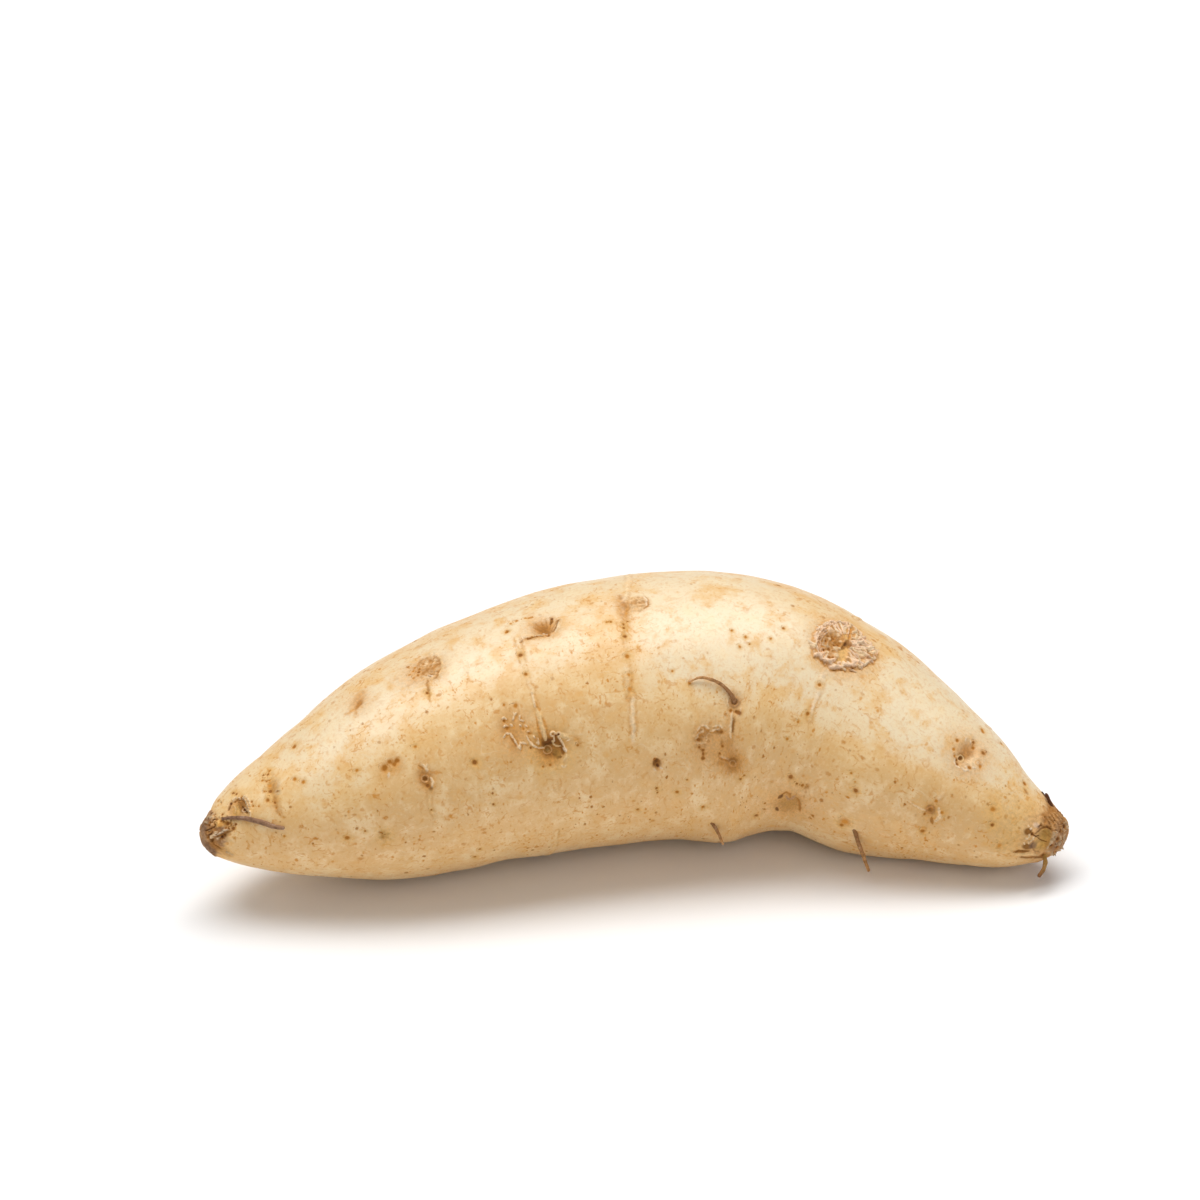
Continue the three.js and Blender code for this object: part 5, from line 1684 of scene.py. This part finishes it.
def hidden_side(skin):
    """Marks on the sides that the front view doesn't show, of the same kinds."""
    for k, (station, angle, radius) in enumerate(HIDDEN_EYES):
        ring_eye(skin, station, angle, radius, EYE_SEED + 3 * k)
        eye = skin.place(station, angle, 5, 1.2, EYE_RIM_SEED + k)
        eye.hollow(0, 0, 2.6, 2.4, 0.35, edge=1.6)
        eye.stroke([(1.6, -1.8), (2.1, -0.4), (1.8, 1.0)], 0.2, 0.25, "cream", 0.7)
        eye.dot(-1.4, 1.7, 0.3, "brown", 0.1)
    for k, (station, angle, radius) in enumerate(HIDDEN_PITS):
        open_pit(skin, station, angle, radius, PIT_SEED + 3 * k)
    for k, (station, angle, radius) in enumerate(HIDDEN_FLAKES):
        flaky_patch(skin, station, angle, radius, FLAKE_SEED + 3 * k)
    chance = np.random.default_rng(11)
    for _ in range(HIDDEN_SPOTS):
        station = chance.uniform(12, 204)
        angle = chance.uniform(195, 395)
        radius = chance.uniform(0.25, 0.55)
        colour = HIDDEN_SPOT_COLOURS[chance.integers(0, len(HIDDEN_SPOT_COLOURS))]
        spot = skin.place(station, angle, 3 * radius, 0.8, int(chance.integers(0, 9999)))
        spot.dot(0, 0, radius, colour, 0.1, 0.7)


def undulate(skin):
    """The gentle unevenness of the whole root, quieter at its tips."""
    points = skin.points
    calm = np.clip(spine.radius_at(skin.run) / 12, 0.25, 1)
    skin.height += calm * (
        0.38 * noise(points, 19.0, 1) + 0.16 * noise(points, 8.0, 2) + 0.05 * noise(points, 3.0, 3)
    )


def work(skin):
    undulate(skin)
    for station, angle, wide, high, amount in FRECKLED:
        area = skin.place(station, angle, 1.7 * wide, 1.0, FRECKLE_SEED)
        area.freckle(0, 0, wide, high, amount)
    hidden_side(skin)
    for k, (width, height, colour, amount, sides, *path) in enumerate(GROWTH_LINES):
        skin.along(path, width, height, colour, amount, sides, LINE_SEED + k)
    for k, (station, angle, radius, depth, colour) in enumerate(SPOTS):
        spot = skin.place(station, angle, 4 * radius, 0.8, SPOT_SEED + k)
        spot.stain("ochre", 0.1, 0.1, 2.8 * radius, amount=0.6, edge=1.6)
        spot.dot(0, 0, radius, colour, depth)
    for mark in (tan_scar, fan_dent, flake_patch, stem_eyes, deep_eye, rough_patch, rootlet_eye,
                 belly_pit, notch, end_dent, cross_eye, papery_scar, stem_tip, root_tip):
        mark(skin)


# ---------------------------------------------------------------- the skin's material

def skin_material():
    """Cream skin, clouded with gold, speckled and streaked with rust, with the worked paint over
    it. "grain" is the root straightened out, in mm, so that the marks lie along and round it."""
    nodes = Nodes("white_sweet_potato_skin")
    grain = nodes.attribute("grain", "Vector")
    lengthwise = nodes.scaled(grain, (0.45, 1, 1))

    cloud = nodes.noise(grain, 22.0, 3, 0.55)
    patchy = nodes.noise(nodes.wavy(grain, 6.0, 3.0), 6.0, 5, 0.6)
    blotchy = nodes.noise(nodes.wavy(grain, 2.5, 2.0), 3.0, 4, 0.62)
    fine = nodes.noise(nodes.wavy(grain, 1.2, 1.5), 0.8, 4, 0.7)
    colour = nodes.mix(nodes.ramp(cloud, 0.38, 0.66), CREAM, OCHRE)
    sheen_shade_zone = nodes.plus(nodes.attribute("sheen_shade_zone"), nodes.ramp(patchy, 0.32, 0.68, 0.35, -0.35))
    for pattern, none_at, most_at, most, dye in (
        # painted sheen and painted shade: the zones pale the upper side towards milk and darken the
        # underside towards honey
        (sheen_shade_zone, -0.1, 1.1, 0.9, SHEEN_MILK),
        (sheen_shade_zone, 0.1, -1.1, 0.9, SHADE_HONEY),
        (patchy, 0.50, 0.68, 0.6, WARM),
        (patchy, 0.50, 0.30, 0.5, PALE),
        (blotchy, 0.52, 0.74, 0.55, AMBER),
        (blotchy, 0.46, 0.28, 0.5, PALE),
        (fine, 0.50, 0.70, 0.32, AMBER),
        (fine, 0.48, 0.30, 0.35, PALE),
    ):
        colour = nodes.mix(nodes.ramp(pattern, none_at, most_at, 0, most), colour, dye)

    zones = nodes.noise(grain, 8.0, 3, 0.5)
    freckles = nodes.attribute("freckles")
    busy = nodes.ramp(zones, 0.38, 0.60, 0.55, 1.0)
    busy = nodes.times(busy, nodes.ramp(sheen_shade_zone, 0.3, 1.0, 1.0, 0.4))
    busy = nodes.greater(busy, freckles)
    corky = 0.0
    for size, biggest, present, crowded, stretch, dye, strength, soft in SPECKS:
        present = nodes.plus(nodes.times(freckles, crowded), present)
        amount = specks(nodes, grain, size, biggest, present, stretch, soft)
        amount = nodes.times(nodes.times(amount, busy), strength)
        colour = nodes.mix(amount, colour, dye)
        corky = nodes.greater(amount, corky)
    for size, width, stretch, dye, strength in WISPS:
        wavy = nodes.scaled(nodes.wavy(grain, 0.6 * size, 0.5 * size), stretch)
        amount = thin_arcs(nodes, wavy, size, width, 0.53, 0.63)
        amount = nodes.times(nodes.times(amount, busy), strength)
        colour = nodes.mix(amount, colour, dye)
        corky = nodes.greater(amount, corky)
    scratches = thin_arcs(nodes, lengthwise, 5.0, 0.008, 0.52, 0.62)
    colour = nodes.mix(nodes.times(scratches, 0.35), colour, SCRATCH)

    paint = nodes.add("ShaderNodeAttribute", attribute_name="paint")
    alpha = paint.outputs["Alpha"]
    ragged = nodes.minus(nodes.noise(grain, 0.5, 3, 0.7), 0.5)
    rest = nodes.times(nodes.minus(1.0, alpha), nodes.times(alpha, 3.0))
    cover = nodes.plus(alpha, nodes.times(ragged, rest), True)
    mottle = nodes.ramp(nodes.noise(grain, 0.7, 3, 0.65), 0.3, 0.7, 0.80, 1.14)
    painted = nodes.mix(1.0, paint.outputs["Color"], nodes.grey(mottle), "MULTIPLY")
    colour = nodes.mix(cover, colour, painted)

    spot = nodes.attribute("spot", "Vector")
    away = nodes.length(nodes.scaled(spot, (1, 1, 0)))
    away = nodes.plus(away, nodes.times(ragged, 0.9))
    core = nodes.times(nodes.ramp(away, 1.0, 0.55), 0.92)
    halo = nodes.times(nodes.ramp(away, 1.6, 0.9), 0.35)
    darkness = nodes.length(nodes.scaled(spot, (0, 0, 1)))
    dye = nodes.mix(nodes.ramp(darkness, 0.1, 0.7), BRONZE, UMBER)
    dye = nodes.mix(nodes.ramp(darkness, 0.6, 1.2), dye, CORK)
    colour = nodes.mix(halo, colour, RUST)
    colour = nodes.mix(core, colour, dye)
    cover = nodes.greater(cover, nodes.greater(core, halo))
    nodes.link(colour, nodes.shader.inputs["Base Color"])

    gloss = nodes.ramp(nodes.noise(grain, 6.0, 3, 0.6), 0.3, 0.7, 0.52, 0.64)
    gloss = nodes.plus(gloss, nodes.times(cover, 0.3), True)
    nodes.link(gloss, nodes.shader.inputs["Roughness"])
    waxy = nodes.minus(nodes.ramp(patchy, 0.3, 0.7, 1.0, 0.75), cover, True)
    waxy = nodes.minus(waxy, corky, True)
    nodes.link(waxy, nodes.shader.inputs["Coat Weight"])
    nodes.shader.inputs["Coat Roughness"].default_value = 0.42
    nodes.shader.inputs["Coat IOR"].default_value = 1.55

    wrinkles = nodes.noise(nodes.scaled(grain, (1.0, 0.55, 0.55)), 0.8, 4, 0.6)
    dimples = nodes.noise(grain, 2.8, 2, 0.5)
    wrinkles = nodes.times(wrinkles, 0.10)
    relief = nodes.plus(wrinkles, nodes.times(dimples, 0.22))
    relief = nodes.plus(relief, nodes.times(scratches, 0.06))
    nodes.bump(relief, 0.6, MM)
    nodes.shader.inputs["IOR"].default_value = 1.5
    nodes.shader.inputs["Specular IOR Level"].default_value = 0.35
    return nodes.material


def specks(nodes, grain, size, biggest, present, stretch, soft):
    """Scattered dots, one or none to a cell, of random sizes up to biggest mm."""
    cells = nodes.add("ShaderNodeTexVoronoi", feature="F1")
    cells.inputs["Scale"].default_value = 1 / size
    nodes.link(nodes.scaled(nodes.wavy(grain, 0.7, 0.6), stretch), cells.inputs["Vector"])
    parts = nodes.add("ShaderNodeSeparateColor")
    nodes.link(cells.outputs["Color"], parts.inputs[0])
    radius = nodes.times(parts.outputs[1], biggest / size)
    inside = nodes.math("DIVIDE", cells.outputs["Distance"], radius)
    dot = nodes.ramp(inside, 1.0, soft)
    chosen = nodes.math("LESS_THAN", parts.outputs[0], present)
    return nodes.times(dot, chosen)


def thin_arcs(nodes, vector, size, width, low, high):
    """Short thin curved lines: where one noise crosses its middle value and another is high."""
    lines = nodes.math("ABSOLUTE", nodes.minus(nodes.noise(vector, size, 1, 0.5), 0.5))
    lines = nodes.ramp(lines, width, 0.0)
    where = nodes.ramp(nodes.noise(vector, size * 0.55, 1, 0.5), low, high)
    return nodes.times(lines, where)


def tone(red, green, blue):
    return (*linear(red, green, blue), 1)


CREAM = (0.83, 0.565, 0.26, 1)
OCHRE = (0.80, 0.50, 0.20, 1)
WARM = (0.79, 0.48, 0.175, 1)
AMBER = (0.74, 0.40, 0.12, 1)
PALE = (0.87, 0.655, 0.36, 1)
SHEEN_MILK = (0.85, 0.71, 0.48, 1)
SHADE_HONEY = (0.68, 0.395, 0.135, 1)
BRONZE = (0.62, 0.255, 0.035, 1)
RUST = (0.54, 0.205, 0.02, 1)
UMBER = (0.40, 0.145, 0.012, 1)
CORK = (0.17, 0.065, 0.018, 1)
SCRATCH = (0.87, 0.68, 0.41, 1)
SPECKS = (
    # cell size, biggest radius, share of cells that have one, how much more among freckles,
    # stretch, colour, strength, inner edge
    (0.9, 0.34, 0.45, 0.3, (1, 1, 1), BRONZE, 0.9, 0.3),
    (1.5, 0.50, 0.42, 0.3, (1, 0.65, 0.65), BRONZE, 1.0, 0.4),
    (2.6, 1.60, 0.50, 0.0, (0.8, 1, 1), AMBER, 0.9, -0.2),
    (3.1, 0.75, 0.55, 0.2, (0.6, 1, 1), RUST, 1.0, 0.4),
    (4.4, 0.75, 0.50, 0.2, (1, 0.8, 0.8), UMBER, 1.0, 0.4),
    (1.5, 0.62, 0.04, 0.45, (1, 0.9, 0.9), UMBER, 1.0, 0.4),
)
WISPS = (
    # size, width as a share of the noise, stretch, colour, strength
    (1.2, 0.16, (0.8, 1, 1), AMBER, 0.6),
    (2.2, 0.05, (1, 0.6, 0.6), BRONZE, 0.7),
    (3.2, 0.03, (0.5, 1, 1), BRONZE, 0.75),
)


# ---------------------------------------------------------------- the skin

BAKE_MARGIN = 0.002


def bake_map(mesh, places, triangles):
    """Unrolls the skin for the finished textures: along the root one way, round it the other."""
    along = places[:, 0] / spine.run[-1]
    turn = (np.arctan2(places[:, 2], places[:, 1]) / (2 * math.pi)) % 1
    turn[turn > 1 - 1e-6] = 0
    pole = np.hypot(places[:, 1], places[:, 2]) < 0.5
    corner_turn = turn[triangles]
    on_pole = pole[triangles]
    middle = np.where(on_pole, np.nan, corner_turn)
    far = np.nanmax(middle, axis=1) > 0.6
    corner_turn = np.where(far[:, None] & (corner_turn < 0.4) & ~on_pole, corner_turn + 1, corner_turn)
    middle = np.nanmean(np.where(on_pole, np.nan, corner_turn), axis=1)
    corner_turn = np.where(on_pole, middle[:, None], corner_turn)
    layer = mesh.uv_layers.new(name="OFBake")
    uv = np.stack([along[triangles], corner_turn], axis=-1) * (1 - 2 * BAKE_MARGIN) + BAKE_MARGIN
    layer.data.foreach_set("uv", uv.astype(np.float32).ravel())


# Broad soft areas, partly the skin's own patchy tone and partly painted light: paler on the upper side
# as painted sheen, more golden and darker underneath as painted shade. Station, angle, reach along and
# round in mm, then how pale or, below 0, golden.
SHEEN_AND_SHADE_ZONES = (
    (28, 76, 16, 9, 0.6), (50, 66, 20, 8, 0.65), (78, 58, 20, 9, 0.7), (98, 52, 14, 12, 0.5),
    (66, 74, 18, 7, 0.4), (128, 48, 22, 9, 0.7), (122, 84, 11, 9, 0.9), (138, 88, 12, 9, 1.2),
    (90, 92, 12, 6, 0.35), (172, 87, 13, 9, 1.1), (170, 58, 14, 9, 0.7), (188, 72, 14, 9, 1.1),
    (204, 62, 10, 10, 0.7), (198, 102, 9, 7, 0.6), (150, 104, 8, 6, 0.5),
    (30, 112, 10, 6, 0.35), (74, 148, 14, 8, 0.25), (112, 126, 8, 7, 0.2),
    (56, 120, 20, 8, -0.3), (76, 120, 14, 9, -0.3), (60, 132, 26, 7, -0.2), (106, 66, 6, 8, -0.4),
    (40, 156, 20, 9, -0.6), (92, 164, 30, 8, -0.5), (140, 160, 16, 10, -0.8), (122, 142, 9, 8, -0.3),
    (180, 158, 24, 9, -0.8), (206, 140, 12, 14, -0.9), (170, 170, 26, 9, -0.5), (12, 132, 10, 10, -0.4),
    (156, 68, 9, 9, -0.4), (88, 112, 18, 8, -0.4), (96, 140, 16, 8, -0.4), (150, 162, 9, 7, -0.5),
    (198, 122, 12, 8, -0.4), (66, 112, 10, 6, -0.3), (186, 130, 12, 9, -0.5), (190, 165, 12, 8, -0.4),
    (30, 136, 12, 8, -0.4), (117, 62, 11, 9, 0.8), (117, 98, 9, 8, 0.9),
)


def zones(worked):
    """How pale (up to 1) or golden (down to -1) the skin is, before its own mottling: painted sheen on
    the upper side and painted shade underneath, with some of the skin's own tone.
    """
    amount = np.zeros(len(worked.points))
    for station, angle, along, around, pale in SHEEN_AND_SHADE_ZONES:
        centre = skin_point(station, angle, 0)
        away_along = (worked.station - station) / along
        away = np.linalg.norm(worked.points - centre, axis=1)
        away_around = np.sqrt(np.maximum(away**2 - (worked.station - station) ** 2, 0)) / around
        amount += pale * np.exp(-0.7 * (away_along**2 + away_around**2))
    return np.clip(amount, -1, 1)


def make_skin():
    places, triangles = skin_mesh()
    worked = Skin(places, triangles)
    work(worked)
    points = worked.points + worked.normals * worked.height[:, None]
    resting = at_rest(points)
    resting[:, 2] = np.maximum(resting[:, 2], 0)
    piece = make_object("sweet_potato_skin", resting, triangles, skin_material())
    radius = spine.radius_at(worked.run)
    cosine, sine = places[:, 1], places[:, 2]
    grain = np.column_stack([worked.station, radius * cosine, radius * sine])
    add_numbers(piece.data, "grain", grain)
    add_numbers(piece.data, "paint", worked.paint)
    add_numbers(piece.data, "spot", worked.spot)
    add_numbers(piece.data, "freckles", worked.freckles)
    add_numbers(piece.data, "sheen_shade_zone", zones(worked))
    bake_map(piece.data, places, triangles)
    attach(piece, "root")
    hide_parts("sweet_potato")


make_skin()

# ---------------------------------------------------------------- rootlets

# Each is a path of (station, angle, lift above the skin, radius), then its colours.
ROOTLETS = {
    "rootlet_wiry": [(128.6, 119, -0.8, 0.62), (127.3, 115.6, 0.5, 0.5), (125.0, 112, 0.95, 0.42),
                     (122.2, 109.6, 1.05, 0.38), (119.0, 108.5, 0.9, 0.32), (115.8, 109.8, 0.35, 0.16)],
    "rootlet_belly": [(123, 179, -1.0, 0.5), (126, 182, 0.8, 0.4), (128, 185, 1.9, 0.36),
                      (130, 188, 3.0, 0.26)],
    "rootlet_lobe": [(171, 170, -1.0, 0.6), (173, 178, 0.6, 0.5), (175.5, 187, 2.4, 0.45),
                     (178, 195, 5.0, 0.34)],
    "rootlet_stub": [(210.6, 178, -1.0, 0.56), (210.3, 180, 0.5, 0.54), (210.4, 180, 2.0, 0.53),
                     (210.2, 180, 3.5, 0.5), (209.8, 180, 4.8, 0.46), (209.7, 180, 5.4, 0.4)],
    "rootlet_back": [(211.9, 64, -0.4, 0.4), (210.5, 62, 0.55, 0.38), (209.4, 60, 1.0, 0.36),
                     (208.7, 58, 1.3, 0.34), (208.3, 56, 1.2, 0.26)],
    "rootlet_thread": [(215.0, 58, 0.0, 0.14), (213.9, 52, 0.15, 0.18), (212.1, 60, 0.1, 0.2),
                       (210.8, 61, 0.05, 0.2), (209.2, 56, 0.1, 0.2), (208.2, 50, 0.05, 0.18),
                       (207.2, 46, -0.05, 0.12)],
    "rootlet_flat": [(4.6, 93.0, -0.3, 0.34), (5.6, 97.4, 0.1, 0.38), (7.4, 103.9, 0.25, 0.46),
                     (9.0, 109.4, 0.3, 0.53), (10.7, 115.0, 0.35, 0.58), (12.4, 120.4, 0.35, 0.6),
                     (14.1, 125.6, 0.35, 0.58), (15.8, 129.2, 0.25, 0.5), (16.8, 130.8, 0.1, 0.4)],
}
ROOTLET_RINGS = 60
ROOTLET_SIDES = 16
ROOTLET_BUMPS = 0.10      # as a share of the radius
ROOTLET_SWAY = 0.16
ROOTLET_CLEARANCE = 0.02  # how far above the table the lowest point is kept


def rootlet_points(path, seed):
    """A crooked tube with round ends: rings of points, then the two end points."""
    rows = np.array([(*skin_point(s, a, lift), radius) for s, a, lift, radius in path])
    last = len(rows) - 1
    u = last * np.linspace(0, 1, ROOTLET_RINGS)
    rings = smooth_rows(rows, u)
    centre, radius = rings[:, :3], rings[:, 3]
    length = np.linalg.norm(np.diff(centre, axis=0), axis=1).sum()
    run = np.linspace(0, length, ROOTLET_RINGS)
    away = np.minimum(run, length - run)
    dome = np.sqrt(np.clip(1 - (1 - np.clip(away / radius.min(), 0, 1)) ** 2, 0, 1))
    radius = radius * np.maximum(dome, 0.02)
    free = np.clip(np.linspace(-0.2, 1, ROOTLET_RINGS), 0, 1)[:, None]
    centre = centre + ROOTLET_SWAY * free * wobble(centre, 2.2, seed)
    ahead = unit(np.gradient(centre, axis=0))
    guide = np.eye(3)[np.argmin(np.abs(ahead.mean(0)))]
    side = unit(np.cross(guide, ahead))
    top = np.cross(ahead, side)
    turn = 2 * math.pi * np.arange(ROOTLET_SIDES) / ROOTLET_SIDES
    ring = centre[:, None] + radius[:, None, None] * (
        np.cos(turn)[None, :, None] * side[:, None] + np.sin(turn)[None, :, None] * top[:, None]
    )
    flat = ring.reshape(-1, 3)
    bumps = ROOTLET_BUMPS * noise(flat, 0.7, seed + 1)
    bumps = bumps + ROOTLET_BUMPS * noise(flat, 0.28, seed + 2)
    outward = flat - np.repeat(centre, ROOTLET_SIDES, axis=0)
    flat = flat + outward * bumps[:, None]
    along = np.repeat(np.linspace(0, 1, ROOTLET_RINGS), ROOTLET_SIDES)
    return np.vstack([flat, centre[0], centre[-1]]), np.concatenate([along, [0, 1]])


def tube_triangles(rings, sides):
    i, j = np.meshgrid(np.arange(rings - 1), np.arange(sides), indexing="ij")
    i, j = i.ravel(), j.ravel()
    a, b = i * sides + j, i * sides + (j + 1) % sides
    c, d = a + sides, b + sides
    around, following = np.arange(sides), (np.arange(sides) + 1) % sides
    first, last = np.full(sides, rings * sides), np.full(sides, rings * sides + 1)
    end = (rings - 1) * sides
    return np.vstack([
        np.column_stack([a, b, d]),
        np.column_stack([a, d, c]),
        np.column_stack([first, following, around]),
        np.column_stack([last, end + around, end + following]),
    ])


def rootlet_material(name, base, tip):
    nodes = Nodes(name)
    along = nodes.attribute("along")
    coordinates = nodes.add("ShaderNodeTexCoord").outputs["Object"]
    metres = nodes.scaled(coordinates, (1000, 1000, 1000))
    colour = nodes.mix(nodes.ramp(along, 0.1, 1.0), tone(*base), tone(*tip))
    blotch = nodes.noise(metres, 0.9, 3, 0.6)
    darker = tone(*(0.6 * value for value in base))
    paler = tone(*(0.6 * value + 90 for value in tip))
    colour = nodes.mix(nodes.ramp(blotch, 0.48, 0.7, 0, 0.6), colour, darker)
    colour = nodes.mix(nodes.ramp(blotch, 0.44, 0.28, 0, 0.5), colour, paler)
    nodes.link(colour, nodes.shader.inputs["Base Color"])
    nodes.link(nodes.ramp(blotch, 0.3, 0.7, 0.6, 0.85), nodes.shader.inputs["Roughness"])
    nodes.shader.inputs["Specular IOR Level"].default_value = 0.3
    nodes.bump(nodes.noise(metres, 0.3, 3, 0.6), 0.5, 0.3 * MM)
    return nodes.material


def make_rootlets():
    wiry = rootlet_material("dry_rootlet", (150, 104, 62), (190, 138, 84))
    golden = rootlet_material("golden_rootlet", (186, 142, 72), (124, 80, 42))
    dark = rootlet_material("dark_rootlet", (104, 62, 32), (84, 46, 22))
    scaly = rootlet_material("scaly_rootlet", (136, 100, 74), (152, 114, 84))
    materials = {
        "rootlet_stub": golden,
        "rootlet_back": dark,
        "rootlet_thread": dark,
        "rootlet_flat": scaly,
    }
    for k, (name, path) in enumerate(ROOTLETS.items()):
        points, along = rootlet_points(path, ROOTLET_SEED + 10 * k)
        triangles = tube_triangles(ROOTLET_RINGS, ROOTLET_SIDES)
        resting = at_rest(points)
        resting[:, 2] = np.maximum(resting[:, 2], ROOTLET_CLEARANCE)
        piece = make_object(name, resting, triangles, materials.get(name, wiry))
        add_numbers(piece.data, "along", along)
        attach(piece, "root")


make_rootlets()

# ---------------------------------------------------------------- studio

FLOOR_REACH = 6.0
FLOOR_DROP = 0.0001


def make_floor():
    mesh = bpy.data.meshes.new("floor")
    corners = [(x * FLOOR_REACH, y * FLOOR_REACH, 0) for x, y in ((-1, -1), (1, -1), (1, 1), (-1, 1))]
    mesh.from_pydata(corners, [], [(0, 1, 2, 3)])
    floor = bpy.data.objects.new("floor", mesh)
    floor.location.z = -FLOOR_DROP
    bpy.context.scene.collection.objects.link(floor)
    nodes = Nodes("floor_paper")
    nodes.shader.inputs["Base Color"].default_value = (0.93, 0.93, 0.93, 1)
    nodes.shader.inputs["Roughness"].default_value = 0.9
    mesh.materials.append(nodes.material)


LIGHTS = (
    # name, where it stands and its sides, in metres, and its power in watts
    ("overhead", (-0.15, 0.32, 2.1), (2.6, 1.15), 48.5),
    ("front", (0.45, -1.25, 0.9), (1.6, 1.0), 3.7),
)
LIGHT_AIM = Vector((0, 0, 0.03))


def make_light(name, place, size, power):
    light = bpy.data.lights.new(name, "AREA")
    light.shape = "RECTANGLE"
    light.size, light.size_y = size
    light.energy = power
    lamp = bpy.data.objects.new(name, light)
    lamp.location = place
    lamp.rotation_euler = (LIGHT_AIM - Vector(place)).to_track_quat("-Z", "Y").to_euler()
    bpy.context.scene.collection.objects.link(lamp)


WORLD_STRENGTH = 0.30


def make_world():
    world = bpy.data.worlds.new("studio")
    world.use_nodes = True
    background = world.node_tree.nodes["Background"]
    background.inputs[0].default_value = (1, 1, 1, 1)
    background.inputs[1].default_value = WORLD_STRENGTH
    bpy.context.scene.world = world


CAMERA_ELEVATION = 30.0
CAMERA_DISTANCE = 1.1
CAMERA_LENS = 142.6
CAMERA_SENSOR = 36
CAMERA_FAR = 50
CAMERA_AIM = Vector((-0.0087, 0.0026, 0.06255))


def make_camera():
    data = bpy.data.cameras.new("camera")
    data.lens = CAMERA_LENS
    data.sensor_width = CAMERA_SENSOR
    data.clip_end = CAMERA_FAR
    camera = bpy.data.objects.new("camera", data)
    elevation = math.radians(CAMERA_ELEVATION)
    back = Vector((0, -math.cos(elevation), math.sin(elevation)))
    camera.location = CAMERA_AIM + CAMERA_DISTANCE * back
    camera.rotation_euler = (-back).to_track_quat("-Z", "Y").to_euler()
    bpy.context.scene.collection.objects.link(camera)
    bpy.context.scene.camera = camera


make_floor()
for light in LIGHTS:
    make_light(*light)
make_world()
make_camera()
bpy.context.scene.view_settings.view_transform = "Standard"
